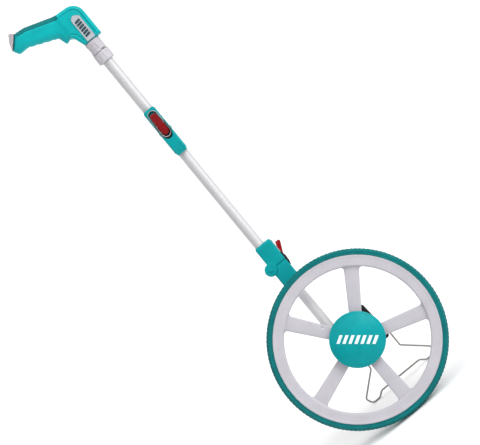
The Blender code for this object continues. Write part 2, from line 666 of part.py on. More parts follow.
def build_fold(which, pin_a, low_bore, low_a, high_bore, base_joint, arm_joint,
               latch_joint):
    frame = fold_frame(which)
    teal = finish_material("hinge_plastic", TEAL, 0.35)
    at_pin = frame @ Matrix.Translation((pin_a, 0, 0)) @ ALONG_W
    wide = BODY_HALF + 5.0

    # base, below the split: the middle knuckle
    low_corners = [(BODY_BACK, BODY_LOW, 3.0), (BODY_FRONT, BODY_LOW, 5.0),
                   (BODY_FRONT, -SPLIT, 0.0), (BODY_BACK, -SPLIT, 0.0)]
    base = as_object(prism(rounded(low_corners, 3), -BODY_HALF, BODY_HALF, frame))
    clear = KNUCKLE_R + GAP
    combine(base, 'DIFFERENCE', turned([(0, KNUCKLE_HALF), (clear, KNUCKLE_HALF),
                                        (clear, wide), (0, wide)], at_pin, segs=20),
            turned([(0, -wide), (clear, -wide), (clear, -KNUCKLE_HALF),
                    (0, -KNUCKLE_HALF)], at_pin, segs=20))
    half = KNUCKLE_HALF - 0.05
    combine(base, 'UNION', rod(KNUCKLE_R, -half, half, at_pin, segs=20))
    combine(base, 'DIFFERENCE',
            rod(low_bore + GAP, BODY_LOW - 5.0, -TUBE_STOP, frame, (low_a, 0, 0), TUBE_SEGS),
            rod(PIN_R + GAP, -wide, wide, at_pin, segs=16),
            pill(SLOT_HALF, SLOT_LOW, SLOT_TOP, SLOT_FLOOR, 40.0, frame))
    place(base, f"hinge_base_{which}", base_joint, teal)

    # arm, above the split: the two outer knuckles
    top_corners = [(BODY_BACK, SPLIT, 0.0), (BODY_FRONT, SPLIT, 0.0),
                   (BODY_FRONT, BODY_TOP, 5.0), (BODY_BACK, BODY_TOP, 3.0)]
    arm = as_object(prism(rounded(top_corners, 3), -BODY_HALF, BODY_HALF, frame))
    inner = KNUCKLE_HALF + GAP
    combine(arm, 'DIFFERENCE', rod(clear, -inner, inner, at_pin, segs=20))
    combine(arm, 'UNION',
            rod(KNUCKLE_R, inner + 0.05, BODY_HALF - 0.05, at_pin, segs=20),
            rod(KNUCKLE_R, 0.05 - BODY_HALF, -inner - 0.05, at_pin, segs=20))
    combine(arm, 'DIFFERENCE',
            rod(high_bore + GAP, TUBE_STOP, BODY_TOP + 5.0, frame, segs=TUBE_SEGS),
            rod(PIN_R + GAP, -wide, wide, at_pin, segs=16),
            pill(SLOT_HALF, SLOT_LOW, SLOT_TOP, SLOT_FLOOR, 40.0, frame),
            rod(LEVER_PIN_R + 0.1, -wide, wide, lever_frame(frame), segs=12))
    place(arm, f"hinge_arm_{which}", arm_joint, teal)

    steel = finish_material("pin_steel", STEEL, 0.3, 1.0)
    head = BODY_HALF + GAP
    tip = head + PIN_HEAD_DEEP
    pin = turned([(0, -tip), (PIN_HEAD_R, -tip), (PIN_HEAD_R, -head), (PIN_R, -head),
                  (PIN_R, head), (PIN_HEAD_R, head), (PIN_HEAD_R, tip), (0, tip)],
                 at_pin, segs=16)
    place(as_object(pin), f"hinge_pin_{which}", base_joint, steel)
    reach = BODY_HALF - 1.8
    place(as_object(rod(LEVER_PIN_R, -reach, reach, lever_frame(frame), segs=12)),
          f"lever_pin_{which}", arm_joint, steel)

    # the hook stands just clear of its catch, so each joint can also move alone
    catch = block((SLOT_FLOOR + GAP, -LEVER_HALF, CATCH_LOW),
                  (CATCH_TOP, LEVER_HALF, CATCH_HIGH), frame)
    place(as_object(catch), f"latch_catch_{which}", base_joint,
          finish_material("catch_black", BLACK, 0.4))
    leaf = [(15.3, 20.8), (15.9, 20.8), (18.4, 28.3), (17.9, 28.8), (15.3, 22.4)]
    place(as_object(prism(leaf, -3.0, 3.0, frame)), f"latch_spring_{which}", arm_joint,
          finish_material("spring_steel", STEEL, 0.3, 1.0))

    lever = as_object(prism(LEVER_SIDE, -LEVER_HALF, LEVER_HALF, frame))
    combine(lever, 'INTERSECT', pill(LEVER_HALF - 0.02, -13.0, 35.5, 10.0, 40.0, frame))
    combine(lever, 'DIFFERENCE',
            rod(LEVER_PIN_R + 0.1, -wide, wide, lever_frame(frame), segs=12))
    place(lever, f"latch_lever_{which}", latch_joint, finish_material("lever_red", RED, 0.3))

    bezel = as_object(pill(SLOT_HALF + BEZEL_WIDE, BEZEL_LOW, SLOT_TOP + BEZEL_WIDE,
                           BODY_FRONT + GAP, BODY_FRONT + 1.1, frame))
    combine(bezel, 'DIFFERENCE',
            pill(SLOT_HALF, BEZEL_LOW + BEZEL_WIDE, SLOT_TOP, 0.0, 40.0, frame))
    place(bezel, f"latch_bezel_{which}", arm_joint,
          finish_material("bezel_grey", (0.5, 0.5, 0.52), 0.3, 0.6))


def lever_frame(frame):
    return frame @ Matrix.Translation((LEVER_PIVOT_A, 0, LEVER_PIVOT_V)) @ ALONG_W


# ---- handle ------------------------------------------------------------------
def handle_half(side):
    """One shell of the grip; side is -1 for the near half and +1 for the far one."""
    outline = rounded(HANDLE_CORNERS, 4)
    outer = [(0.15, 0.0), (10.0, 0.0), (14.0, 1.6), (HANDLE_HALF, 4.0)]
    inner = [(0.15, HANDLE_WALL), (13.0, HANDLE_WALL + 1.0)]
    bm = bmesh.new()

    def ring(depth, inset):
        return [bm.verts.new((p.x, TUBE_W + side * depth, p.y)) for p in offset(outline, inset)]

    rings = [ring(*step) for step in reversed(outer)] + [ring(*step) for step in inner]
    for low, high in zip(rings, rings[1:]):
        for i in range(len(low)):
            bm.faces.new((low[i - 1], low[i], high[i], high[i - 1]))
    bm.faces.new(rings[0])
    bm.faces.new(rings[-1])
    return as_object(bm)


def build_handle():
    teal = finish_material("handle_plastic", TEAL, 0.35)
    tube = dict(axis=ALONG_V, at=(TUBE_U, TUBE_W, 0), segs=TUBE_SEGS)
    steel = finish_material("screw_steel", STEEL, 0.35, 1.0)
    for side, name in ((-1, "handle_shell_near"), (1, "handle_shell_far")):
        half = handle_half(side)
        combine(half, 'DIFFERENCE', rod(UPPER_TUBE_R + GAP, 690.0, UPPER_TUBE_TOP + 1.0, **tube))
        for u, v in HANDLE_SCREWS:
            at = (u, TUBE_W, v)
            if side < 0:
                combine(half, 'UNION', rod(3.6, -14.0, -0.5, at=at, segs=12))
                combine(half, 'DIFFERENCE', rod(SCREW_HOLE_R, -11.0, 5.0, at=at, segs=10))
            else:
                combine(half, 'DIFFERENCE', rod(SCREW_HOLE_R, -5.0, 30.0, at=at, segs=10))
        place(half, name, "mid_axis", teal)
    for number, (u, v) in enumerate(HANDLE_SCREWS, 1):
        at = (u, TUBE_W + HANDLE_HALF + GAP, v)
        place(as_object(screw(24.0, at)),
              f"handle_screw_{number}", "mid_axis", steel)

    # soft strip along the grip's back, a little proud of the shells
    run = [p for p in rounded(HANDLE_CORNERS) if SPINE_START < p.x < SPINE_END and p.y > 768.0]
    run.sort(key=lambda p: -p.x)
    low_edge = shifted(run, GAP)
    high_edge = shifted(run, GAP + 1.4)
    strip = prism(low_edge + high_edge[::-1], TUBE_W - SPINE_HALF, TUBE_W + SPINE_HALF)
    place(as_object(strip), "grip_spine", "mid_axis",
          finish_material("grip_rubber", (0.0, 0.12, 0.14), 0.65))

    plate_w = TUBE_W - HANDLE_HALF - GAP
    plate = prism(rounded(PLATE_CORNERS), plate_w - PLATE_THICK, plate_w)
    place(as_object(plate), "label_plate", "mid_axis",
          finish_material("collar_plastic", GREY, 0.4))
    behind = plate_w - PLATE_THICK - GAP
    bars = as_object(block((-31.0, behind - 0.4, 710.5), (-20.0, behind, 746.0)))
    for v in BAR_PLACES:
        combine(bars, 'UNION', block((-30.6, behind - 1.2, v), (-20.4, behind - 0.2, v + 3.4)))
    place(bars, "label_bars", "mid_axis", finish_material("bar_dark", (0.02, 0.07, 0.09), 0.5))

    butt = rounded(BUTT_CORNERS)
    shell = rounded(HANDLE_CORNERS)
    cap = as_object(prism(butt, TUBE_W - BUTT_HALF, TUBE_W + BUTT_HALF))
    combine(cap, 'DIFFERENCE', prism(offset(shell, -GAP), TUBE_W - 30.0, TUBE_W + 30.0))
    place(cap, "butt_cap", "mid_axis", finish_material("butt_grey", (0.45, 0.45, 0.48), 0.4))


def shifted(run, distance):
    """An open run of points, moved to the left of its way by a distance."""
    moved = []
    for i, here in enumerate(run):
        before = run[max(i - 1, 0)]
        after = run[min(i + 1, len(run) - 1)]
        way = (after - before).normalized()
        moved.append(here + Vector((way.y, -way.x)) * distance)
    return moved


def build_tubes():
    silver = finish_material("tube_aluminium", SILVER, 0.3, 1.0)
    at = (TUBE_U, TUBE_W, 0)
    tube_end = TUBE_STOP + 0.5
    place(as_object(sleeve(LOWER_TUBE_R - TUBE_WALL, LOWER_TUBE_R, LOWER_FOLD_V + tube_end,
                           MID_FOLD_V - tube_end, ALONG_V, at, TUBE_SEGS)),
          "lower_tube", "lower_axis", silver)
    place(as_object(sleeve(UPPER_TUBE_R - TUBE_WALL, UPPER_TUBE_R, MID_FOLD_V + tube_end,
                           UPPER_TUBE_TOP, ALONG_V, at, TUBE_SEGS)),
          "upper_tube", "mid_axis", silver)
    grey = finish_material("collar_plastic", GREY, 0.4)
    bore = UPPER_TUBE_R + GAP
    ring = [(bore, COLLAR_LOW), (COLLAR_RING_R - 1.0, COLLAR_LOW),
            (COLLAR_RING_R, COLLAR_LOW + 1.0), (COLLAR_RING_R, COLLAR_MID - 1.0),
            (COLLAR_RING_R - 1.0, COLLAR_MID), (bore, COLLAR_MID)]
    place(as_object(turned(ring, ALONG_V, at, TUBE_SEGS)), "collar_ring", "mid_axis", grey)
    low = COLLAR_MID + 0.8
    collar = [(bore, low), (COLLAR_R - 1.5, low), (COLLAR_R, low + 2.0),
              (COLLAR_R, COLLAR_TOP), (bore, COLLAR_TOP)]
    place(as_object(turned(collar, ALONG_V, at, TUBE_SEGS)), "handle_collar", "mid_axis", grey)


def main():
    clear_scene()
    add_empty("device", (0.0, 0.0, 0.0), None)
    add_empty("wheel_axis", (0.0, 0.0, 0.0), "device")
    add_empty("idler_axis", idler_centre(), "device")
    add_empty("drum_axis", (DRUM_U, 0.0, DRUM_V), "device")
    add_empty("reset_axis", (BUTTON_U, 0.0, BUTTON_V), "device")
    add_empty("stand_axis", (0.0, STAND_W, STAND_V), "device")
    lower_pin = fold_frame("lower") @ Vector((LOWER_PIN_A, 0, 0))
    mid_pin = fold_frame("mid") @ Vector((MID_PIN_A, 0, 0))
    lever = Vector((LEVER_PIVOT_A, 0, LEVER_PIVOT_V))
    add_empty("lower_axis", tuple(lower_pin), "device")
    add_empty("lower_latch_axis", tuple(fold_frame("lower") @ lever), "lower_axis")
    add_empty("mid_axis", tuple(mid_pin), "lower_axis")
    add_empty("mid_latch_axis", tuple(fold_frame("mid") @ lever), "mid_axis")
    build_tyre()
    build_rim()
    build_cap()
    build_axle()
    build_housing()
    build_bushes()
    build_gears()
    build_reset()
    build_kickstand()
    build_leg()
    build_fold("lower", LOWER_PIN_A, LEG_R, LEG_U - TUBE_U, LOWER_TUBE_R,
               "device", "lower_axis", "lower_latch_axis")
    build_fold("mid", MID_PIN_A, LOWER_TUBE_R, 0.0, UPPER_TUBE_R,
               "lower_axis", "mid_axis", "mid_latch_axis")
    build_tubes()
    build_handle()


main()
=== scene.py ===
"""Looks of the folding measuring wheel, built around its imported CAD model.

Shapes are worked out in millimetres in the device frame: u runs the way the wheel
rolls, w runs back along the axle and v up the tube, from the hub centre.  Moulded
pieces are signed distance fields, meshed once; turned, bent and flat pieces are
built directly.  Every piece rides on the CAD body that it belongs to.
"""

import json
from math import asin, cos, pi, radians, sin, tan

import bmesh
import bpy
import numpy as np
from mathutils import Matrix, Vector


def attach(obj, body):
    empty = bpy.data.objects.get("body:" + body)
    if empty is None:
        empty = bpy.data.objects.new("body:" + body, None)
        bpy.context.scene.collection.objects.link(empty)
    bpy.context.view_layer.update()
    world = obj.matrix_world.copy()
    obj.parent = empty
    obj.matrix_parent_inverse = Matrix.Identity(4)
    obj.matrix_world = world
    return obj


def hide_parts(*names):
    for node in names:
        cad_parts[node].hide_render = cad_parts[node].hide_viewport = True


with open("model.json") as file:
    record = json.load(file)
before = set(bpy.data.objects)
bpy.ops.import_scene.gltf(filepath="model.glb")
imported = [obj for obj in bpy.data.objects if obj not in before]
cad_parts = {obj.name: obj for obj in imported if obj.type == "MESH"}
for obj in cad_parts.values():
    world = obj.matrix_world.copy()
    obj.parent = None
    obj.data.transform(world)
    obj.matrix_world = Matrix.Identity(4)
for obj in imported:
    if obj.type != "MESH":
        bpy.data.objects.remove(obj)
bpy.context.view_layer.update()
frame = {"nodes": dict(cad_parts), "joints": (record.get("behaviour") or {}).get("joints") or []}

MM = 0.001
JOINTS = {joint["name"]: joint for joint in frame["joints"]}

# ---- the device frame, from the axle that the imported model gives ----
HUB = Vector(JOINTS["wheel_spin"]["pos_m"])
AXLE = Vector(JOINTS["wheel_spin"]["axis"]).normalized()
ACROSS = Vector((1, 0, 0))
TUBE_WAY = ACROSS.cross(AXLE)
DEVICE = Matrix((ACROSS, AXLE, TUBE_WAY)).transposed().to_4x4()
DEVICE.translation = HUB

# ---- sizes, in millimetres ----
GAP = 0.3                      # between pieces that touch
TYRE_R = 159.05
CROWN_R = 16
TREAD_HALF = 11
SEAT_R = 148
RIM_INNER_R = 128.5
RIM_HALF = 10.4
WEB_HALF = 6
HUB_R = 44
HUB_HALF = 13
SPOKES = 5
SPOKE_ANGLE = radians(55.6)
SPOKE_HALF_HUB, SPOKE_HALF_RIM = 11, 13.4
CAP_R, CAP_SKIRT, CAP_DOME = 49.6, 4, 12
CAP_FACE = -13.3
BOX_LEFT, BOX_RIGHT = -11.5, 48.5
BOX_LOW, BOX_HIGH = -30, 44
BOX_FRONT, BOX_BACK = 24, 79.7
COVER_LOW, COVER_HIGH = 80, 82.5
WINDOW_U, WINDOW_W = (11, 29), (37, 77)
DRUM_U, DRUM_V, DRUM_R = 20, 27, 12
DRUM_FIRST_W, DRUM_PITCH, DRUM_WIDE = 37, 8, 7.6
BUTTON_U, BUTTON_V = 36, 2
COVER_SCREWS = [(43.5, -25), (-6.5, 39)]
WIRE_R = 1.5
STAND_W, STAND_V = 62, -14
STAND_MID_U, STAND_LEG = 18.5, 33
STAND_BEND, STAND_BAR, STAND_FOOT = 62, 127, 139.5
TUBE_U, TUBE_W = -28.3, 48
LEG_U = -24
LEG_R, LOWER_R, UPPER_R = 9, 9.6, 10.2
TUBE_WALL = 1.2
LOWER_V, MID_V = 190, 498
BODY_BACK, BODY_FRONT, BODY_HALF = -11.7, 21.3, 12.25
BODY_LOW, BODY_TOP = -50, 46
KNUCKLE_R, KNUCKLE_HALF = 11.5, 4.85
FOLD_PIN_R = 2.5
SLOT_HALF, SLOT_FLOOR, SLOT_LOW, SLOT_HIGH = 8, 15, -18, 40
LEVER_HALF = 6.7
LEVER_PIVOT = (18.5, 12)
HANDLE_HALF, GRIP_HALF = 16, 14.2
HANDLE_CORNERS = [             # u, v, corner radius
    (-5, 702, 1.5), (-5, 773, 24), (-50, 776, 24),
    (-106, 795, 14), (-126, 797, 5), (-147, 774, 5),
    (-140, 763, 4), (-122, 763, 12), (-70, 741, 5),
    (-65, 723.5, 3.5), (-56, 727, 4), (-49, 723, 5),
    (-42, 702, 1.5),
]
PLATE_CORNERS = [(-34, 703.5, 1), (-16.5, 703.5, 1), (-16.5, 749, 4),
                 (-27, 756.5, 5), (-34, 750, 4)]
HANDLE_SCREWS = [(-116, 779), (-16, 752)]

# ---- the picture ----
VIEW_AZIMUTH, VIEW_ELEVATION = radians(0.4), radians(15.5)
VIEW_AIM = (-29, 30, 288.7)
VIEW_DISTANCE = 8
VIEW_WIDTH = 0.839             # of the picture, at the aim point
TUBE_ANGLE = radians(129.4)    # of the tube in the picture, from its right edge


# ---- outlines ----
def rounded(corners, most=6):
    """A closed outline from (x, y, radius) corners, each round one made an arc."""
    outline = []
    count = len(corners)
    for i, (x, y, radius) in enumerate(corners):
        here = Vector((x, y))
        if radius <= 0:
            outline.append(here)
            continue
        back = (Vector(corners[i - 1][:2]) - here).normalized()
        ahead = (Vector(corners[(i + 1) % count][:2]) - here).normalized()
        half = back.angle(ahead) / 2
        centre = here + (back + ahead).normalized() * (radius / sin(half))
        start = here + back * (radius / tan(half)) - centre
        end = here + ahead * (radius / tan(half)) - centre
        turn = start.angle_signed(end)
        steps = max(1, min(most, round(radius * abs(turn) / 0.8)))
        for step in range(steps + 1):
            outline.append(centre + Matrix.Rotation(-turn * step / steps, 2) @ start)
    return outline


def offset(outline, distance):
    """The outline moved inwards by a distance."""
    area = sum(a.cross(b) for a, b in zip(outline, outline[1:] + outline[:1]))
    side = 1 if area > 0 else -1
    moved = []
    for i, here in enumerate(outline):
        before = (here - outline[i - 1]).normalized()
        after = (outline[(i + 1) % len(outline)] - here).normalized()
        inward = (Vector((-before.y, before.x)) + Vector((-after.y, after.x))) * side
        inward.normalize()
        stretch = max(0.5, inward.dot(Vector((-before.y, before.x)) * side))
        moved.append(here + inward * (distance / stretch))
    return moved


# ---- signed distance fields, negative inside ----
def span(x, low, high):
    return np.abs(x - (low + high) / 2) - (high - low) / 2


def meet(a, b, round_by=0):
    """What is in both, with the edge between them rounded."""
    a, b = a + round_by, b + round_by
    outside = np.hypot(np.maximum(a, 0), np.maximum(b, 0))
    return np.minimum(np.maximum(a, b), 0) + outside - round_by


def join(a, b, fillet=0):
    return -meet(-a, -b, fillet)


def cut(a, b, round_by=0):
    return meet(a, -b, round_by)


def polygon(outline):
    """The field of a closed outline, as a function of x and y."""
    def field(x, y):
        nearest = np.full(np.broadcast(x, y).shape, np.inf)
        inside = np.zeros(nearest.shape, bool)
        for a, b in zip(outline, outline[1:] + outline[:1]):
            way = b - a
            along = np.clip(((x - a.x) * way.x + (y - a.y) * way.y) / way.length_squared, 0, 1)
            gap = (x - a.x - along * way.x) ** 2 + (y - a.y - along * way.y) ** 2
            nearest = np.minimum(nearest, gap)
            if a.y != b.y:
                crosses = (a.y > y) != (b.y > y)
                inside ^= crosses & (x < way.x * (y - a.y) / way.y + a.x)
        return np.sqrt(nearest) * np.where(inside, -1, 1)
    return field


def pill(x, y, half, low, high):
    """The field of an upright slot with round ends."""
    return np.hypot(x, y - np.clip(y, low + half, high - half)) - half


EDGES = [(a, b) for a in range(8) for b in range(a + 1, 8) if (a ^ b) in (1, 2, 4)]


def nets(values):
    """One vertex for each cell that the surface crosses, and quads between them."""
    inside = values < 0
    shape = tuple(n - 1 for n in values.shape)
    corner = [(i >> 2 & 1, i >> 1 & 1, i & 1) for i in range(8)]

    def at(offsets):
        return tuple(slice(o, o + n) for o, n in zip(offsets, shape))

    filled = sum(inside[at(c)].astype(np.int8) for c in corner)
    cells = np.argwhere((filled > 0) & (filled < 8))
    number = np.full(shape, -1)
    number[tuple(cells.T)] = np.arange(len(cells))
    total = np.zeros((len(cells), 3))
    count = np.zeros((len(cells), 1))
    for a, b in EDGES:
        low, high = np.array(corner[a]), np.array(corner[b])
        first = values[tuple((cells + low).T)][:, None]
        last = values[tuple((cells + high).T)][:, None]
        crossed = (first < 0) != (last < 0)
        share = np.where(crossed, first / np.where(crossed, first - last, 1), 0)
        total += np.where(crossed, low + share * (high - low), 0)
        count += crossed
    points = cells + total / count
    quads = []
    for axis in range(3):
        one, two = (axis + 1) % 3, (axis + 2) % 3
        step = np.eye(3, dtype=int)
        here = inside[tuple(slice(0, -1) if k == axis else slice(1, -1) for k in range(3))]
        there = inside[tuple(slice(1, None) if k == axis else slice(1, -1) for k in range(3))]
        for leaving in (True, False):
            found = np.argwhere((here != there) & (here == leaving)) + 1 - step[axis]
            ring = [found - step[one] - step[two], found - step[two], found, found - step[one]]
            ids = np.stack([number[tuple(r.T)] for r in ring], axis=1)
            quads.append(ids if leaving else ids[:, ::-1])
    return points, np.concatenate(quads)


def moulded(field, low, high, cell, place=Matrix.Identity(4)):
    """The surface of a field between two corners, as a mesh in the device frame."""
    low = np.array(low, float) - 2 * cell
    axes = [np.arange(a, b + 2.5 * cell, cell) for a, b in zip(low, high)]
    grid = np.meshgrid(*axes, indexing="ij", sparse=True)
    values = np.broadcast_to(field(*grid), [len(a) for a in axes])
    points, quads = nets(values)
    points = low + points * cell
    nudge = 0.02 * cell
    for _ in range(4):
        here = field(*points.T)
        slope = np.stack([field(*(points + nudge * way).T) - field(*(points - nudge * way).T)
                          for way in np.eye(3)], axis=1) / (2 * nudge)
        steepness = np.maximum((slope ** 2).sum(1), 0.2)
        step = -(here / steepness)[:, None] * slope
        reach = np.maximum(np.linalg.norm(step, axis=1), 1e-9)[:, None]
        points = points + step * np.minimum(1, 0.45 * cell / reach)
    turn = np.array(place)
    points = points @ turn[:3, :3].T + turn[:3, 3]
    mesh = bpy.data.meshes.new("moulded")
    mesh.from_pydata((points * MM).tolist(), [], quads.tolist())
    return mesh


# ---- direct mesh shapes, in millimetres ----
def as_mesh(bm):
    bmesh.ops.recalc_face_normals(bm, faces=bm.faces)
    if bm.calc_volume(signed=True) < 0:
        bmesh.ops.reverse_faces(bm, faces=bm.faces)
    bm.transform(Matrix.Scale(MM, 4))
    mesh = bpy.data.meshes.new("piece")
    bm.to_mesh(mesh)
    bm.free()
    return mesh


def bridge(bm, rings, closed=False):
    """Quads between each ring of vertices and the next."""
    pairs = list(zip(rings, rings[1:]))
    if closed:
        pairs.append((rings[-1], rings[0]))
    for low, high in pairs:
        for i in range(len(low)):
            bm.faces.new((low[i - 1], low[i], high[i], high[i - 1]))


ALONG_W = Matrix.Rotation(-pi / 2, 4, 'X')
ALONG_V = Matrix.Identity(4)
AGAINST_U = Matrix.Rotation(-pi / 2, 4, 'Y')


def turned(profile, axis=ALONG_W, at=(0, 0, 0), steps=72):
    """A closed profile of (radius, height) turned about an axis through a point."""
    bm = bmesh.new()
    ring = [bm.verts.new((r, 0, h)) for r, h in profile]
    edges = [bm.edges.new((a, b)) for a, b in zip(ring, ring[1:] + ring[:1])
             if a.co.x > 0 or b.co.x > 0]
    bmesh.ops.spin(bm, geom=ring + edges, cent=(0, 0, 0), axis=(0, 0, 1),
                   angle=2 * pi, steps=steps, use_merge=True)
    bmesh.ops.remove_doubles(bm, verts=bm.verts, dist=1e-4)
    bm.transform(Matrix.Translation(at) @ axis)
    return bm


def eased(profile, by, most=4):
    """A turned profile with every corner off the axis rounded."""
    corners = [(r, h, by if r > 0 else 0) for r, h in profile]
    return [(p.x, p.y) for p in rounded(corners, most)]


def layered(outline, steps, place):
    """An outline stacked through (inset, height) steps, capped at both ends."""
    bm = bmesh.new()
    rings = []
    for inset, height in steps:
        moved = offset(outline, inset) if inset else outline
        rings.append([bm.verts.new(place(p.x, p.y, height)) for p in moved])
    bridge(bm, rings)
    bm.faces.new(rings[0])
    bm.faces.new(rings[-1])
    return bm


def swept(path, section, closed=False):
    """A section of (side, up) points carried along a path, without twisting."""
    bm = bmesh.new()
    path = [Vector(p) for p in path]
    count = len(path)
    up = Vector((0, 1, 0)) if abs((path[1] - path[0]).normalized().z) > 0.9 \
        else Vector((0, 0, 1))
    rings = []
    for i, here in enumerate(path):
        before = path[i - 1] if closed or i else here
        after = path[(i + 1) % count] if closed or i < count - 1 else here
        way = (after - before).normalized()
        up = (up - way * up.dot(way)).normalized()
        side = way.cross(up)
        rings.append([bm.verts.new(here + side * x + up * y) for x, y in section])
    bridge(bm, rings, closed)
    if not closed:
        bm.faces.new(rings[0])
        bm.faces.new(rings[-1])
    return bm


def circle(radius, steps=16):
    return [(radius * cos(2 * pi * i / steps), radius * sin(2 * pi * i / steps))
            for i in range(steps)]


def gathered(shapes):
    """Separate shapes as one."""
    whole = bmesh.new()
    for bm in shapes:
        mesh = bpy.data.meshes.new("shape")
        bm.to_mesh(mesh)
        bm.free()
        whole.from_mesh(mesh)
        bpy.data.meshes.remove(mesh)
    return whole


def linked(name, data):
    """A new object in the scene."""
    obj = bpy.data.objects.new(name, data)
    bpy.context.scene.collection.objects.link(obj)
    return obj


def evaluated(obj):
    """The mesh that an object comes to."""
    depsgraph = bpy.context.evaluated_depsgraph_get()
    depsgraph.update()
    return bpy.data.meshes.new_from_object(obj.evaluated_get(depsgraph))


def carved(mesh, *tools):
    """A mesh with closed tool shapes cut out of it."""
    obj = linked("carved", mesh)
    for bm in tools:
        tool = linked("tool", as_mesh(bm))
        modifier = obj.modifiers.new("cut", 'BOOLEAN')
        modifier.operation = 'DIFFERENCE'
        modifier.solver = 'EXACT'
        modifier.object = tool
        result = evaluated(obj)
        obj.modifiers.clear()
        obj.data = result
        bpy.data.objects.remove(tool, do_unlink=True)
    result = obj.data
    bpy.data.objects.remove(obj, do_unlink=True)
    return result


def add_piece(mesh, name, body, material, slot, *nodes, sharp=40):
    """A piece in the device frame, on its body, standing for the CAD nodes named."""
    if isinstance(mesh, bmesh.types.BMesh):
        mesh = as_mesh(mesh)
    mesh.name = name
    mesh.shade_smooth()
    mesh.set_sharp_from_angle(angle=radians(sharp))
    mesh.materials.clear()
    mesh.materials.append(material)
    obj = linked(name, mesh)
    obj.matrix_world = DEVICE
    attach(obj, body)
    if nodes:
        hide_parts(*nodes)
    return obj


# ---- finishes ----
class Finish:
    """A material with its nodes, built up a step at a time."""

    def __init__(self, name, roughness=0.5, metallic=0, specular=0.5):
        self.material = bpy.data.materials.new(name)
        self.material.use_nodes = True
        self.tree = self.material.node_tree
        self.shader = self.tree.nodes["Principled BSDF"]
        for key, value in (("Roughness", roughness), ("Metallic", metallic),
                           ("Specular IOR Level", specular)):
            self.shader.inputs[key].default_value = value
        self.place = self.node("ShaderNodeTexCoord").outputs["Object"]
        self.bumps = None

    def feed(self, socket, value):
        """Link a socket to an output, or give it a plain value."""
        if isinstance(value, bpy.types.NodeSocket):
            self.tree.links.new(value, socket)
        else:
            socket.default_value = value

    def node(self, kind, **inputs):
        made = self.tree.nodes.new(kind)
        for key, value in inputs.items():
            self.feed(made.inputs[key.replace("_", " ")], value)
        return made

    def stretched(self, scale):
        return self.node("ShaderNodeMapping", Vector=self.place, Scale=scale).outputs[0]

    def noise(self, scale, detail=3, vector=None):
        made = self.node("ShaderNodeTexNoise", Vector=vector or self.place, Scale=scale,
                         Detail=detail, Roughness=0.6)
        return made.outputs["Fac"]

    def between(self, factor, low, high, start=0.3, end=0.7):
        """A number or colour that runs from low to high as the factor grows."""
        if isinstance(low, tuple):
            ramp = self.tree.nodes.new("ShaderNodeValToRGB")
            self.feed(ramp.inputs[0], factor)
            first, last = ramp.color_ramp.elements
            first.position, last.position = start, end
            first.color, last.color = (*low, 1), (*high, 1)
            return ramp.outputs[0]
        return self.node("ShaderNodeMapRange", Value=factor, From_Min=start, From_Max=end,
                         To_Min=low, To_Max=high).outputs[0]

    def mix(self, factor, one, two):
        made = self.tree.nodes.new("ShaderNodeMix")
        made.data_type = 'RGBA'
        for index, value in ((0, factor), (6, one), (7, two)):
            self.feed(made.inputs[index], (*value, 1) if isinstance(value, tuple) else value)
        return made.outputs[2]

    def colour(self, socket):
        self.feed(self.shader.inputs["Base Color"], socket)

    def roughness(self, socket):
        self.feed(self.shader.inputs["Roughness"], socket)

    def bump(self, height, strength, depth):
        made = self.node("ShaderNodeBump", Height=height, Strength=strength, Distance=depth)
        if self.bumps:
            self.feed(made.inputs["Normal"], self.bumps)
        self.bumps = made.outputs[0]
        self.feed(self.shader.inputs["Normal"], self.bumps)

    def edges(self):
        """High along outer edges, low in hollows."""
        return self.tree.nodes.new("ShaderNodeNewGeometry").outputs["Pointiness"]


def shade(colour, by):
    return tuple(min(1, channel * by) for channel in colour)


def plastic(name, colour, roughness=0.38, grain=0.25, specular=0.3, edge_highlight=1.25, vary=0.10):
    """Moulded plastic: spark-etched grain, faint flow marks, and a painted highlight that lightens
    the outer edges.
    """
    f = Finish(name, roughness, 0, specular)
    flow = f.noise(28, 4)
    tone = f.between(flow, shade(colour, 1 - vary), shade(colour, 1 + vary))
    # painted highlight: the outer edges are lightened, as if they caught the light
    edge = f.between(f.edges(), 0, 1, 0.525, 0.60)
    f.colour(f.mix(edge, tone, shade(colour, edge_highlight)))
    f.roughness(f.between(f.noise(140, 3), roughness - 0.06, roughness + 0.09))
    f.bump(f.noise(2600, 2), grain, 0.0002)
    f.bump(f.noise(60, 2), 0.12, 0.0006)
    return f.material


def rubber(name, colour, roughness=0.62):
    """Rubber: fine matt grain, with painted shade that darkens the hollows."""
    f = Finish(name, roughness, 0, 0.15)
    cloudy = f.noise(45, 5)
    tone = f.between(cloudy, shade(colour, 0.82), shade(colour, 1.16))
    # painted shade: the hollows are darkened, as if less light reached them
    low = f.between(f.edges(), 0.5, 0, 0.42, 0.5)
    f.colour(f.mix(low, tone, shade(colour, 0.6)))
    f.roughness(f.between(f.noise(220, 3), roughness - 0.08, roughness + 0.12))
    f.bump(f.noise(1800, 3), 0.35, 0.0003)
    return f.material


def drawn_metal(name, colour, roughness=0.3, metallic=1, way=(900, 900, 6)):
    """Metal tube drawn through a die: fine lines along it, with soft patches."""
    f = Finish(name, roughness, metallic)
    lines = f.noise(1, 3, f.stretched(way))
    patches = f.noise(22, 3)
    tone = f.between(lines, shade(colour, 0.93), shade(colour, 1.05))
    cloud = f.between(patches, 0, 0.35, 0.35, 0.75)
    f.colour(f.mix(cloud, tone, shade(colour, 0.9)))
    f.roughness(f.between(lines, roughness - 0.07, roughness + 0.1))
    f.bump(lines, 0.1, 0.0002)
    return f.material


def steel(name, colour=(0.56, 0.56, 0.58), roughness=0.3, stain=(0.28, 0.24, 0.2)):
    """Plated steel with dull specks and a trace of staining."""
    f = Finish(name, roughness, 1)
    specks = f.noise(420, 4)
    stains = f.between(f.noise(70, 5), 0, 0.5, 0.52, 0.8)
    tone = f.between(specks, shade(colour, 0.85), shade(colour, 1.1))
    f.colour(f.mix(stains, tone, stain))
    f.roughness(f.between(specks, roughness - 0.08, roughness + 0.15, 0.3, 0.75))
    f.bump(specks, 0.12, 0.0002)
    return f.material


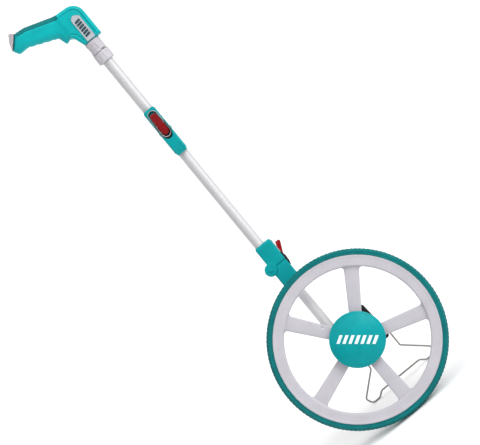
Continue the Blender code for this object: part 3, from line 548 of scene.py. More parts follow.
cap_finish = plastic("cap_teal", (0, 0.275, 0.295), 0.36, 0.15, 0.12)
teal_finish = plastic("hinge_teal", (0, 0.275, 0.292), 0.36, specular=0.12)
handle_finish = plastic("handle_teal", (0, 0.355, 0.372), 0.36, specular=0.15)
rim_finish = plastic("rim_grey", (0.45, 0.435, 0.475), 0.42, 0.3, edge_highlight=1.12, vary=0.05)
collar_finish = plastic("collar_grey", (0.46, 0.44, 0.475), 0.4, edge_highlight=1.12, vary=0.05)
plate_finish = plastic("plate_grey", (0.40, 0.42, 0.45), 0.35, edge_highlight=1.1, vary=0.04)
butt_finish = plastic("butt_grey", (0.36, 0.32, 0.345), 0.4, edge_highlight=1.15, vary=0.06)
black_finish = plastic("housing_black", (0.010, 0.011, 0.012), 0.46, 0.4, edge_highlight=2.2, vary=0.2)
mark_finish = plastic("mark_white", (0.70, 0.78, 0.78), 0.4, 0.1, edge_highlight=1.05, vary=0.03)
bars_finish = plastic("bars_dark", (0.010, 0.035, 0.045), 0.45, edge_highlight=1.6)
button_finish = plastic("button_red", (0.36, 0.010, 0.010), 0.35)
nylon_finish = plastic("nylon", (0.60, 0.59, 0.54), 0.45, 0.2, edge_highlight=1.1)
acetal_finish = plastic("acetal", (0.66, 0.64, 0.59), 0.38, 0.15, edge_highlight=1.1)
tyre_finish = rubber("tyre_rubber", (0, 0.140, 0.145))
grip_finish = rubber("grip_rubber", (0, 0.150, 0.158), 0.55)
tube_finish = drawn_metal("tube_aluminium", (0.56, 0.56, 0.575), 0.44, 0.35)
# painted light: the leg is the same drawn aluminium as the tubes, coloured lighter to make up for
# the wheel's shade on it
leg_painted_light_finish = drawn_metal("leg_aluminium_painted_light", (0.72, 0.72, 0.735), 0.46, 0.2)
wire_finish = steel("wire_steel", (0.27, 0.255, 0.235), 0.36)
steel_finish = steel("bright_steel")
bezel_finish = steel("bezel_silver", (0.50, 0.45, 0.47), 0.36, (0.34, 0.30, 0.31))


def lever_finish():
    """Glossy red plastic, its tone varied at random and its outer edges painted brighter as a
    highlight.
    """
    f = Finish("lever_red", 0.34, 0, 0.15)
    tone = f.between(f.noise(60, 4), (0.17, 0.002, 0.004), (0.27, 0.005, 0.006))
    # painted highlight: the outer edges turn a brighter red, as if they caught the light
    edge = f.between(f.edges(), 0, 1, 0.53, 0.60)
    f.colour(f.mix(edge, tone, (0.40, 0.03, 0.02)))
    f.roughness(f.between(f.noise(200, 3), 0.24, 0.4))
    f.bump(f.noise(1500, 2), 0.15, 0.0002)
    return f.material


def window_finish():
    """Clear moulded window with faint scratches."""
    f = Finish("window_clear", 0.05, 0, 0.5)
    f.shader.inputs["Transmission Weight"].default_value = 1
    f.shader.inputs["IOR"].default_value = 1.46
    scratches = f.noise(1, 4, f.stretched((900, 60, 60)))
    f.colour(f.between(scratches, (0.90, 0.96, 0.95), (0.97, 1, 1), 0.4, 0.6))
    f.roughness(f.between(scratches, 0.03, 0.12, 0.45, 0.75))
    f.bump(scratches, 0.05, 0.0001)
    return f.material


def floor_finish():
    f = Finish("floor_paper", 0.75, 0, 0.2)
    f.colour(f.between(f.noise(3, 3), (0.90, 0.90, 0.905), (0.93, 0.93, 0.93)))
    f.bump(f.noise(700, 2), 0.02, 0.0002)
    return f.material


# ---- wheel ----
def build_tyre():
    """A crowned tread with two grooves and two rows of notches, staggered."""
    notches, quarter, deep = 132, 6, 0.9
    crown = asin(TREAD_HALF / CROWN_R)
    profile = []                   # radius, height, how far a notch sinks it
    across = 24
    for i in range(across + 1):
        angle = -crown + 2 * crown * i / across
        height = CROWN_R * sin(angle)
        groove = 0.8 if 2.6 < abs(height) < 4 else 0
        sink = deep if groove == 0 and abs(height) < 10.2 else 0
        profile.append((TYRE_R - CROWN_R + CROWN_R * cos(angle) - groove, height, sink))
    side = [(152.6, 11), (151.2, 10.5), (150.4, 10.5), (149.6, 10.95), (SEAT_R, 10.95)]
    profile += [(r, h, 0) for r, h in side] + [(r, -h, 0) for r, h in reversed(side)]
    bm = bmesh.new()
    rings = []
    steps = notches * quarter
    for step in range(steps):
        angle = 2 * pi * step / steps
        ring = []
        for radius, height, sink in profile:
            row = step + (quarter // 2 if abs(height) < 3 else 0)
            r = radius - (sink if row % quarter < 2 else 0)
            ring.append(bm.verts.new((r * cos(angle), height, r * sin(angle))))
        rings.append(ring)
    bridge(bm, rings, closed=True)
    add_piece(bm, "tyre_tread", "wheel", tyre_finish, "tyre", "tyre", sharp=28)


def rim_field(u, w, v):
    """Rim, five spokes with moulded channels behind them, and the hub."""
    r = np.hypot(u, v)
    fifth = 2 * pi / SPOKES
    turn = np.mod(np.arctan2(v, u) - SPOKE_ANGLE + fifth / 2, fifth) - fifth / 2
    aside = np.abs(r * np.sin(turn))
    share = np.clip((r - HUB_R) / (RIM_INNER_R - HUB_R), 0, 1)
    half = SPOKE_HALF_HUB + (SPOKE_HALF_RIM - SPOKE_HALF_HUB) * share
    spoke = meet(aside - half, r - SEAT_R + 4)
    flat = join(join(spoke, meet(RIM_INNER_R - r, r - SEAT_R + 4), 7), r - HUB_R, 3)
    crown = 0.9 * np.clip(aside / half, 0, 1) ** 2
    web = meet(flat, np.abs(w) - WEB_HALF + crown, 1.8)
    ring = meet(span(r, RIM_INNER_R, SEAT_R - GAP), np.abs(w) - RIM_HALF, 1.6)
    lip = meet(span(r, SEAT_R - 4.2, SEAT_R - GAP), np.abs(w) - RIM_HALF - 0.5, 0.5)
    hub = meet(r - HUB_R, np.abs(w) - HUB_HALF, 1.5)
    whole = join(join(join(ring, web, 2.5), hub, 3), lip, 0.4)
    channel = meet(meet(aside - half + 3.6, span(r, 57, 121), 3), 3.4 - w, 0.8)
    whole = cut(whole, channel, 0.8)
    dimple = np.hypot(np.hypot(u + 33.6, v - 54.2), w + WEB_HALF + 1.6) - 3.4
    return cut(cut(whole, dimple, 0.5), r - 5.3)


def build_rim():
    reach = SEAT_R
    mesh = moulded(rim_field, (-reach, -HUB_HALF, -reach), (reach, HUB_HALF, reach), 1.3)
    add_piece(mesh, "rim_and_spokes", "wheel", rim_finish, "rim", "wheel_rim", sharp=60)


def cap_height(r):
    """How far the dome stands in front of the cap's back edge."""
    return CAP_SKIRT + CAP_DOME * (1 - min(1, r / CAP_R) ** 2)


def build_cap():
    wall, steps = 2.2, 40
    outer = [(CAP_R, 0), (CAP_R, CAP_SKIRT - 1)]
    for i in range(1, steps + 1):
        r = CAP_R * cos(pi / 2 * i / steps) ** 0.45
        groove = 0.45 if 44.6 < r < 46.2 else 0
        outer.append((r if i < steps else 0, cap_height(r if i < steps else 0) - groove))
    inner = [(r * (CAP_R - wall) / CAP_R, max(0, h - wall)) for r, h in outer[1::4]]
    inner[-1] = (0, inner[-1][1])
    profile = [(r, CAP_FACE - h) for r, h in outer + inner[::-1] + [(CAP_R - wall, 0)]]
    add_piece(turned(profile, steps=128), "hub_cap_dome", "wheel", cap_finish, "cap", "hub_cap",
              sharp=50)


def build_cap_mark():
    """A plain row of slanted white bars across the middle of the cap."""
    level = Matrix.Rotation(TUBE_ANGLE - pi / 2, 2)
    bars, pitch, wide, tall, slant = 7, 10.4, 5.6, 15, 0.36
    across, up = 4, 8
    bm = bmesh.new()
    for bar in range(bars):
        centre = (bar - (bars - 1) / 2) * pitch
        grids = []
        for raise_by in (0.28, -0.4):
            grid = {}
            for i in range(across + 1):
                for j in range(up + 1):
                    y = tall * (j / up - 0.5)
                    p = Vector((centre + wide * (i / across - 0.5) + slant * y, y)) @ level
                    height = cap_height(p.length) + raise_by
                    grid[i, j] = bm.verts.new((p.x, CAP_FACE - height, p.y))
            grids.append(grid)
        for grid in grids:
            for i in range(across):
                for j in range(up):
                    bm.faces.new((grid[i, j], grid[i + 1, j], grid[i + 1, j + 1], grid[i, j + 1]))
        rim = ([(i, 0) for i in range(across)] + [(across, j) for j in range(up)]
               + [(i, up) for i in range(across, 0, -1)] + [(0, j) for j in range(up, 0, -1)])
        bridge(bm, [[grid[key] for key in rim] for grid in grids])
    add_piece(bm, "hub_cap_bars", "wheel", mark_finish, "label", sharp=30)


def build_axle_end():
    clip_w = COVER_HIGH + 2.9

    def ring(u, w, v):
        r = np.hypot(u, v)
        band = meet(span(r, 4.3, 7), span(w, clip_w, clip_w + 1), 0.2)
        return cut(cut(band, meet(np.abs(u) - 2.2, -v), 0.3),
                   np.hypot(np.abs(u) - 6.3, v - 2.6) - 0.9)

    mesh = moulded(ring, (-7.2, clip_w, -7.2), (7.2, clip_w + 1, 7.2), 0.3)
    add_piece(mesh, "axle_ring_clip", "wheel", steel_finish, "steel", "axle_clip", sharp=50)
    add_piece(turned(eased([(0, -23), (5, -23), (5, 21), (4, 21), (4, 86),
                            (0, 86)], 0.6), steps=48),
              "axle_rod", "wheel", steel_finish, "steel", "axle")


# ---- counter ----
BOX_CORNERS = [(BOX_LEFT, BOX_LOW, 5), (BOX_RIGHT, BOX_LOW, 5), (BOX_RIGHT, 2, 0),
               (BOX_RIGHT - 3, BOX_HIGH, 5), (BOX_LEFT, BOX_HIGH, 5)]


def build_housing():
    outline = polygon(rounded(BOX_CORNERS))

    def housing(u, w, v):
        side = outline(u, v)
        box = meet(side, span(w, BOX_FRONT, BOX_BACK), 1.2)
        lip = meet(meet(span(u, 7.8, 32.2), span(w, 33.8, 79), 3), span(v, 40, 45.3), 0.6)
        ribs = np.abs(np.mod(w, 8) - 4) - 1.2
        ribs = meet(meet(ribs, span(w, 33, 73)), span(v, -20, -2), 0.6)
        ribs = meet(ribs, span(u, BOX_RIGHT - 2, BOX_RIGHT + 0.7), 0.5)
        boss = meet(np.hypot(w - STAND_W, v - STAND_V) - 4.4,
                    span(u, BOX_LEFT - 0.8, BOX_RIGHT + 0.8), 0.5)
        box = join(join(join(box, lip, 0.8), ribs, 0.4), boss, 0.6)
        hollow = meet(side + 2.5, BOX_FRONT + 2.5 - w, 1)
        opening = meet(meet(span(u, *WINDOW_U), span(w, *WINDOW_W), 1.5), 39 - v)
        bush = meet(np.hypot(u, v) - 7.3, w - 30)
        wire = np.hypot(w - STAND_W, v - STAND_V) - WIRE_R - GAP
        return cut(cut(cut(cut(box, hollow), opening, 0.5), bush, 0.4), wire, 0.3)

    mesh = moulded(housing, (BOX_LEFT - 1, BOX_FRONT, BOX_LOW),
                   (BOX_RIGHT + 1, BOX_BACK, BOX_HIGH + 2), 1.1)
    add_piece(mesh, "counter_box", "frame", black_finish, "housing", "counter_housing", sharp=60)


def on_back(x, y, height):
    return (x, COVER_LOW + height, y)


def build_cover():
    steps = [(0.5, 0), (0, 0.5), (0, 1.9), (0.25, 2.3), (0.7, 2.5), (4, 2.5),
             (4.8, 1.8)]
    mesh = as_mesh(layered(rounded(BOX_CORNERS), steps, on_back))
    holes = [turned([(0, 70), (r, 70), (r, 90), (0, 90)], at=(u, 0, v), steps=40)
             for u, v, r in [(0, 0, 7.3), (BUTTON_U, BUTTON_V, 4.3), (DRUM_U, DRUM_V, 2.3)]
             + [(u, v, 1.6) for u, v in COVER_SCREWS]]
    mesh = carved(mesh, *holes)
    add_piece(mesh, "counter_lid", "frame", black_finish, "housing", "counter_cover", sharp=25)
    back = [(4.1, 77.8), (7, 77.8), (7, 82.8), (9, 82.8), (9, 84.8), (4.1, 84.8)]
    add_piece(turned(eased(back, 0.4)), "axle_bush_flange", "frame", nylon_finish, "nylon",
              "axle_bush_back")


def screw_mesh(place, shank):
    """A pan-head screw with a cross recess; its head rises along local z from the origin."""
    head_r, head_deep, recess = 3, 1.6, 1.9
    profile = [(0, -shank), (1.2, -shank), (1.2, 0), (head_r, 0), (head_r, head_deep * 0.4),
               (head_r * 0.8, head_deep * 0.85), (head_r * 0.4, head_deep), (0, head_deep)]
    head = as_mesh(turned(profile, place, steps=36))
    tools = []
    for x, y in ((0.42, recess), (recess, 0.42)):
        tool = bmesh.new()
        bmesh.ops.create_cube(tool, size=2)
        tool.transform(place @ Matrix.Translation((0, 0, head_deep + 0.3))
                       @ Matrix.Diagonal((x, y, 1.2, 1)))
        tools.append(tool)
    return carved(head, *tools)


def build_screws():
    rows = []
    for number, (u, v) in enumerate(COVER_SCREWS, 1):
        rows.append((f"lid_screw_{number}", "frame", (u, COVER_HIGH + 0.1, v), ALONG_W, 12,
                     [f"cover_screw_{number}"]))
    for number, (u, v) in enumerate(HANDLE_SCREWS, 1):
        grip = GRIP_HALF if u < GRIP_START else HANDLE_HALF
        rows.append((f"grip_screw_{number}", "mast_upper", (u, TUBE_W + grip - 0.6, v), ALONG_W,
                     18, [f"handle_screw_{number}"]))
    for number, v in enumerate((-20, 22), 1):
        rows.append((f"leg_screw_{number}", "frame", (BOX_LEFT - 2.9, 31.5, v), AGAINST_U, 5, []))
    for name, body, at, way, shank, nodes in rows:
        mesh = screw_mesh(Matrix.Translation(at) @ way, shank)
        add_piece(mesh, name, body, steel_finish, "steel", *nodes, sharp=30)


def build_window():
    (left, right), (front, back) = WINDOW_U, WINDOW_W
    outline = rounded([(left + GAP, front + GAP, 1.4), (right - GAP, front + GAP, 1.4),
                       (right - GAP, back - GAP, 1.4), (left + GAP, back - GAP, 1.4)])
    steps = [(0.2, 42.6), (0, 42.8), (0, 44.4), (0.2, 44.7), (0.5, 44.8)]
    lens = layered(outline, steps, lambda x, y, height: (x, y, height))
    add_piece(lens, "counter_lens", "frame", window_finish(), "window", "counter_window", sharp=30)


def digit_outline(digit):
    """A digit as a flat mesh in x and y, a few millimetres tall."""
    text = bpy.data.curves.new("digit", 'FONT')
    text.body = str(digit)
    text.size = 6.6
    text.align_x = 'CENTER'
    text.align_y = 'CENTER'
    holder = linked("digit", text)
    mesh = evaluated(holder)
    bpy.data.objects.remove(holder, do_unlink=True)
    return mesh


def wrapped_digit(flat, value, middle_w):
    """A raised digit bent round a drum, a tenth of a turn on for each value."""
    bm = bmesh.new()
    bm.from_mesh(flat)
    for level in (-2, -1, 0, 1, 2):
        bmesh.ops.bisect_plane(bm, geom=bm.verts[:] + bm.edges[:] + bm.faces[:],
                               plane_co=(0, level, 0), plane_no=(0, 1, 0))
    raised = bmesh.ops.extrude_face_region(bm, geom=bm.faces[:])["geom"]
    for vert in bm.verts:
        height = DRUM_R + (0.1 if vert in raised else -0.2)
        angle = 2 * pi * value / 10 + vert.co.y / DRUM_R
        vert.co = (DRUM_U + height * sin(angle), middle_w - vert.co.x,
                   DRUM_V + height * cos(angle))
    return bm


def build_drums():
    digits = [digit_outline(digit) for digit in range(10)]
    white = plastic("digit_white", (0.84, 0.84, 0.80), 0.45, 0.1, edge_highlight=1.05)
    dark = plastic("drum_black", (0.016, 0.016, 0.018), 0.42, 0.2, edge_highlight=1.5, vary=0.15)
    red = plastic("drum_red", (0.36, 0.012, 0.012), 0.42, 0.2, edge_highlight=1.5, vary=0.15)
    names = ["drum_tenths", "drum_ones", "drum_tens", "drum_hundreds", "drum_thousands"]
    for index, name in enumerate(names):
        low = DRUM_FIRST_W + index * DRUM_PITCH
        profile = [(2.1, low), (DRUM_R - 2, low), (DRUM_R - 2, low + 0.5), (DRUM_R, low + 0.5),
                   (DRUM_R, low + DRUM_WIDE), (2.1, low + DRUM_WIDE)]
        add_piece(turned(eased(profile, 0.25), at=(DRUM_U, 0, DRUM_V), steps=80),
                  f"{name}_ring", name, red if index == 0 else dark, "drums", name)
        shapes = [wrapped_digit(flat, value, low + DRUM_WIDE / 2)
                  for value, flat in enumerate(digits)]
        add_piece(gathered(shapes), f"{name}_digits", name, white, "drums", sharp=30)


def build_button():
    inner = COVER_LOW
    profile = [(0, 54), (2, 54), (2, inner - 2.5), (5.4, inner - 2.5), (5.4, inner - 0.5),
               (4, inner - 0.5), (4, inner + 6), (3.2, inner + 7), (1.6, inner + 6.4),
               (0, inner + 6.2)]
    add_piece(turned(eased(profile, 0.3), at=(BUTTON_U, 0, BUTTON_V), steps=48),
              "reset_push", "reset", button_finish, "button", "reset_button")


# ---- kickstand ----
def build_kickstand():
    half = [(STAND_LEG - 8, 0, 0), (STAND_LEG, 0, 2.5), (STAND_LEG, STAND_BEND, 12),
            (74.5, 119, 12), (69, STAND_FOOT, 10), (53, STAND_FOOT, 10),
            (43, STAND_BAR, 7)]
    corners = half + [(-u, s, r) for u, s, r in reversed(half)]
    flat = rounded(corners, 10)
    reach = max(p.y for p in flat)
    lean = asin(-AXLE.z)
    pivot = HUB.z / MM + STAND_V * cos(lean) - STAND_W * sin(lean)
    below = asin((pivot - WIRE_R - 0.03) / reach) - lean
    path = []
    for p in flat:
        path.append((STAND_MID_U + p.x, STAND_W + p.y * cos(below), STAND_V - p.y * sin(below)))
    add_piece(swept(path, circle(WIRE_R, 18)), "stand_wire", "kickstand", wire_finish, "wire",
              "kickstand", sharp=50)


# ---- leg and tubes ----
def build_leg():
    right = BOX_LEFT - GAP
    barrel = polygon(rounded([(LEG_U - 12, 37, 8), (right, 37, 0), (right, 59, 0),
                              (LEG_U - 12, 59, 8)]))

    def socket(u, w, v):
        side = barrel(u, w)
        body = meet(side, span(v, -28, 30), 1.2)
        waist = meet(side + 1, span(v, -21, 23), 0.8)
        ends = np.minimum(span(v, -28, -20), span(v, 22, 30))
        body = meet(body, join(waist, meet(side, ends, 1.2), 0.6))
        flange = meet(meet(span(u, right - 2.6, right), span(w, 27, 58), 0.8),
                      span(v, -28, 30), 0.8)
        web = meet(meet(span(u, right - 8, right), span(w, 30, 40)), span(v, -1.5, 2.5), 0.6)
        bore = meet(np.hypot(u - LEG_U, w - TUBE_W) - LEG_R - GAP, -22.3 - v)
        drain = np.hypot(u - LEG_U, w - TUBE_W) - LEG_R + 4
        pin = np.hypot(u - LEG_U, v - 10) - 2.3
        solid = join(join(body, flange, 1.5), web, 1)
        return cut(cut(cut(solid, bore, 0.4), drain, 0.4), pin, 0.3)

    mesh = moulded(socket, (LEG_U - 12, 27, -28), (right, 59, 30), 0.9)
    add_piece(mesh, "leg_holder", "frame", black_finish, "housing", "leg_socket", sharp=60)
    add_piece(turned(eased([(0, 36.3), (2, 36.3), (2, 59.7), (0, 59.7)], 0.5),
                     at=(LEG_U, 0, 10), steps=32),
              "leg_cross_pin", "frame", steel_finish, "steel", "leg_pin")


def tube(radius, low, high, at_u):
    """A thin tube with eased ends."""
    inner, ease = radius - TUBE_WALL, 0.3
    profile = [(inner, low), (radius - ease, low), (radius, low + ease), (radius, high - ease),
               (radius - ease, high), (inner, high)]
    return turned(profile, ALONG_V, (at_u, TUBE_W, 0), 72)


def build_tubes():
    reach = 14.5
    rows = [("leg_tube", "frame", leg_painted_light_finish, LEG_R, -22, LOWER_V - 15, LEG_U),
            ("lower_tube", "mast_lower", tube_finish, LOWER_R, LOWER_V + reach, MID_V - reach,
             TUBE_U),
            ("upper_tube", "mast_upper", tube_finish, UPPER_R, MID_V + reach, 738, TUBE_U)]
    for node, body, finish, *shape in rows:
        add_piece(tube(*shape), f"{node}_drawn", body, finish, "tube", node, sharp=30)


def build_collars():
    def ring(u, w, v):
        r = np.hypot(u - TUBE_U, w - TUBE_W)
        turn = np.arctan2(w - TUBE_W, u - TUBE_U)
        flute = 0.55 * np.clip(np.cos(12 * turn), 0, 1) * np.clip(-span(v, 660, 673), 0, 1)
        body = meet(r - 16 + flute, span(v, 657, 676.5), 1.6)
        return cut(body, r - UPPER_R - GAP, 0.6)

    def collar(u, w, v):
        r = np.hypot(u - TUBE_U, w - TUBE_W)
        body = meet(r - 14, span(v, 677.3, 701.7), 0.8)
        top = meet(r - 15, span(v, 694, 701.7), 1.2)
        foot = meet(r - 15, span(v, 677.3, 682), 1)
        tab = meet(meet(span(u, -26, -13), w - TUBE_W, 1), span(v, 680, 697), 1)
        tab = meet(tab, r - 15, 0.8)
        body = join(join(join(body, top, 0.8), foot, 0.8), tab, 0.5)
        notch = meet(meet(span(u, -23.5, -15.5), w - TUBE_W + 8), span(v, 676, 679.6), 0.4)
        return cut(cut(body, notch, 0.4), r - UPPER_R - GAP, 0.5)

    low, high = (TUBE_U - 16, TUBE_W - 16), (TUBE_U + 16, TUBE_W + 16)
    add_piece(moulded(ring, (*low, 657), (*high, 676.5), 0.8), "collar_fluted", "mast_upper",
              collar_finish, "collar", "collar_ring", sharp=60)
    add_piece(moulded(collar, (*low, 677.3), (*high, 701.7), 0.8), "collar_sleeve", "mast_upper",
              collar_finish, "collar", "handle_collar", sharp=60)


# ---- fold joints, in their own frame: a across, h along the pin, v up ----
def fold_frame(which):
    if which == "lower":
        return Matrix.Translation((TUBE_U, TUBE_W, LOWER_V))
    return Matrix.Translation((TUBE_U, TUBE_W, MID_V)) @ Matrix.Rotation(-pi / 2, 4, 'Z')


def build_fold(which, pin_a, low_bore, low_a, high_bore, base_body, arm_body, latch_body):
    place = fold_frame(which)
    split = 0.2
    middle, half_deep = (BODY_BACK + BODY_FRONT) / 2, (BODY_FRONT - BODY_BACK) / 2

    def barrel(a, h, v, ends, neck_ends, ease):
        """A slightly barrelled body with a slimmer neck where the tube goes in."""
        crown = 1.5 * np.clip((a - middle) / half_deep, -1, 1) ** 2
        side = meet(span(a, BODY_BACK, BODY_FRONT), np.abs(h) - BODY_HALF + crown, 2.4)
        return join(meet(side, span(v, *ends), ease),
                    meet(side + 1.6, span(v, *neck_ends), 1.2), 0.8)

    def slot(a, h, v):
        return meet(pill(h, v, SLOT_HALF, SLOT_LOW, SLOT_HIGH), SLOT_FLOOR - a)

    def base(a, h, v):
        body = barrel(a, h, v, (BODY_LOW + 4, -split), (BODY_LOW, -split), 1.8)
        pin = np.hypot(a - pin_a, v)
        body = cut(body, meet(pin - KNUCKLE_R - GAP, KNUCKLE_HALF - np.abs(h)), 0.3)
        knuckle = meet(pin - KNUCKLE_R, np.abs(h) - KNUCKLE_HALF + 0.1, 0.9)
        body = join(body, knuckle, 1.5)
        panel = meet(meet(np.abs(h) - 7.2, span(v, -45, -33), 2), 20.4 - a, 0.3)
        ribs = meet(np.abs(np.mod(v, 4) - 2) - 0.9, 20.9 - a)
        body = cut(body, cut(panel, ribs, 0.2), 0.4)
        bore = meet(np.hypot(a - low_a, h) - low_bore - GAP, v + 14)
        return cut(cut(cut(body, bore, 0.5), slot(a, h, v), 0.6), pin - FOLD_PIN_R - GAP, 0.3)

    def arm(a, h, v):
        body = barrel(a, h, v, (split, BODY_TOP - 1.5), (split, BODY_TOP), 2.2)
        pin = np.hypot(a - pin_a, v)
        inner = KNUCKLE_HALF + GAP
        body = cut(body, meet(pin - KNUCKLE_R - GAP, np.abs(h) - inner), 0.3)
        knuckle = meet(pin - KNUCKLE_R, span(np.abs(h), inner + 0.1, BODY_HALF - 0.1), 0.9)
        body = join(body, knuckle, 1.5)
        bore = meet(np.hypot(a, h) - high_bore - GAP, 14 - v)
        lever_pin = np.hypot(a - LEVER_PIVOT[0], v - LEVER_PIVOT[1]) - 1.7
        lever_pin = meet(lever_pin, np.abs(h) - SLOT_HALF - 0.6)
        body = cut(cut(body, bore, 0.5), slot(a, h, v), 0.6)
        return cut(cut(body, pin - FOLD_PIN_R - GAP, 0.3), lever_pin, 0.2)

    # the grid starts 0.4 out, so that none of its planes grazes the barrelled sides
    low = (min(BODY_BACK, pin_a - KNUCKLE_R), -BODY_HALF - 0.4, BODY_LOW)
    high = (BODY_FRONT, BODY_HALF, BODY_TOP)
    add_piece(moulded(base, low, (*high[:2], KNUCKLE_R), 0.8, place), f"fold_base_{which}",
              base_body, teal_finish, "hinge", f"hinge_base_{which}", sharp=60)
    add_piece(moulded(arm, (*low[:2], -KNUCKLE_R), high, 0.8, place), f"fold_arm_{which}",
              arm_body, teal_finish, "hinge", f"hinge_arm_{which}", sharp=60)

    head, r = BODY_HALF + GAP, FOLD_PIN_R
    profile = [(0, -head - 0.5), (r + 0.9, -head - 0.5), (r + 1.4, -head), (r, -head), (r, head),
               (r + 1.4, head), (r + 0.9, head + 0.5), (0, head + 0.5)]
    across = place @ Matrix.Translation((pin_a, 0, 0)) @ ALONG_W
    add_piece(turned(eased(profile, 0.2), across, steps=40), f"fold_pin_{which}", base_body,
              teal_finish, "hinge", f"hinge_pin_{which}")
    mesh = moulded(lever_field, (16, -LEVER_HALF, -10), (34, LEVER_HALF, 35), 0.6, place)
    add_piece(mesh, f"release_lever_{which}", latch_body, red_finish, "lever",
              f"latch_lever_{which}", sharp=60)
    build_bezel(which, place, arm_body)

    def catch(a, h, v):
        floor = pill(h, v, SLOT_HALF - 0.2, SLOT_LOW + 0.2, SLOT_HIGH)
        floor = meet(meet(floor, span(a, SLOT_FLOOR, SLOT_FLOOR + 0.7)), v + 0.6)
        step = meet(span(a, SLOT_FLOOR, SLOT_FLOOR + 1.8), np.abs(h) - 7)
        return join(floor, meet(step, span(v, -5.2, -1.2), 0.4), 0.4)

    add_piece(moulded(catch, (15, -8, SLOT_LOW), (17, 8, 0), 0.5, place),
              f"catch_plate_{which}", base_body, black_finish, "housing",
              f"latch_catch_{which}", sharp=60)


lever_side = polygon(rounded([
    (17.2, -9.2, 0.3), (20.4, -9.2, 1.2), (21.4, -5, 2), (24.6, 12, 8),
    (33.8, 31, 1.5), (32, 34.6, 1.2), (25, 34.6, 2), (20.2, 19, 1.5),
    (16.2, 17, 0.5), (16.2, 7, 0.5), (18.5, 3, 0.8), (18.5, -5.6, 0),
    (17.2, -5.6, 0)]))
# the side outline of the black ring that paints shade round the slot's lower end
shade_guard_side = polygon(rounded([
    (BODY_FRONT - 0.6, -13.4, 0), (22.2, -13.4, 0.5), (24.4, -6, 3), (24.9, 6, 4),
    (22.6, 14.6, 2), (BODY_FRONT - 0.6, 15.6, 0)]))


def lever_field(a, h, v):
    """The release lever: a hook below, and a ridged finger pad at its upper end."""
    front = pill(h, v, LEVER_HALF - 0.1, -9.1, 34.9)
    solid = meet(lever_side(a, v), front, 1.3)
    pad = a - 24.6 - (v - 12) * 0.484
    ridges = meet(np.abs(np.mod(v - 13, 4.2) - 2.1) - 0.8, span(v, 14.6, 30.2))
    ridges = meet(meet(ridges, np.abs(h) - 4.6, 0.6), -0.6 - pad, 0.2)
    spot = np.hypot(h, v - 31.6) - 1.3
    solid = cut(cut(solid, ridges, 0.4), meet(spot, -1.4 - pad), 0.2)
    return cut(solid, np.hypot(a - LEVER_PIVOT[0], v - LEVER_PIVOT[1]) - 1.6)


def build_bezel(which, place, body):
    """A slim bright ring round the slot, and a black ring round its lower half, painted shade
    where the lever's lower end lies in shadow.
    """
    half, low, high, arc = SLOT_HALF + 0.5, -13, SLOT_HIGH + 0.6, 16
    path = []
    for centre, start in ((high - half, 0), (low + half, pi)):
        for i in range(arc + 1):
            angle = start + pi * i / arc
            path.append((half * cos(angle), centre + half * sin(angle)))
    points = [place @ Vector((BODY_FRONT + 0.25, h, v)) for h, v in path]
    section = [(0.75 * x, 0.75 * y) for x, y in circle(1, 12)]
    add_piece(swept(points, section, True), f"slot_bezel_{which}", body, bezel_finish, "bezel",
              f"latch_bezel_{which}", sharp=50)

    # painted shade: a black ring put where the lever's lower end lies in shadow
    def guard(a, h, v):
        outside = pill(h, v, half + 1.9, low - 1.9, 40)
        ring = cut(outside, pill(h, v, half + 0.6, low - 0.6, 60))
        return meet(ring, shade_guard_side(a, v), 0.4)

    mesh = moulded(guard, (BODY_FRONT - 0.6, -11, -15.5), (25, 11, 16), 0.5, place)
    add_piece(mesh, f"lever_shade_guard_{which}", body, black_finish, "housing", sharp=60)


# ---- handle ----
handle_outline = polygon(rounded(HANDLE_CORNERS, 8))
plate_outline = polygon(rounded(PLATE_CORNERS))
GRIP_BACK = [(-46, 776), (-52, 775.5), (-106, 794.5), (-128, 797)]
GRIP_START = -52


def near_line(u, v, points):
    """Distance from an open run of points."""
    nearest = np.inf
    for (x0, y0), (x1, y1) in zip(points, points[1:]):
        dx, dy = x1 - x0, y1 - y0
        along = np.clip(((u - x0) * dx + (v - y0) * dy) / (dx * dx + dy * dy), 0, 1)
        nearest = np.minimum(nearest, np.hypot(u - x0 - along * dx, v - y0 - along * dy))
    return nearest


def handle_body(u, w, v):
    """Both halves of the handle as one: a rounded grip and a flatter head."""
    side = handle_outline(u, v)
    share = np.clip((GRIP_START + 5 - u) / 10, 0, 1)
    share = share * share * (3 - 2 * share)
    depth = np.abs(w - TUBE_W) - HANDLE_HALF + (HANDLE_HALF - GRIP_HALF) * share
    body = meet(side, depth, 6 + 6.5 * share)
    fingers = np.hypot(np.mod(u + 74, 13) - 6.5, side - 3.2) - 4
    fingers = meet(meet(fingers, span(u, -120, -74)), v - 768 + 0.35 * (u + 120))
    return cut(body, fingers, 1.2)


def spine_region(u, v):
    return meet(near_line(u, v, GRIP_BACK) - 7.5, span(u, -124.5, -49), 3)


def shell_field(side):
    def field(u, w, v):
        body = handle_body(u, w, v)
        groove = np.abs(handle_outline(u, v) + 7.5) - 0.9
        groove = meet(meet(groove, GRIP_START - u), HANDLE_HALF - 1.4 - np.abs(w - TUBE_W))
        body = cut(body, groove, 0.5)
        if side < 0:
            lip = meet(np.abs(plate_outline(u, v) - 1.6) - 0.9, w - 36)
            lip = meet(lip, TUBE_W - HANDLE_HALF - 0.9 - w, 0.4)
            body = join(body, meet(lip, 704 - v), 0.6)
        body = cut(body, meet(spine_region(u, v), -1.2 - handle_body(u, w, v)), 0.2)
        half = meet(body, side * (TUBE_W - w) + 0.15)
        bore = np.hypot(u - TUBE_U, w - TUBE_W) - UPPER_R - GAP
        return cut(half, meet(bore, v - 739), 0.3)
    return field


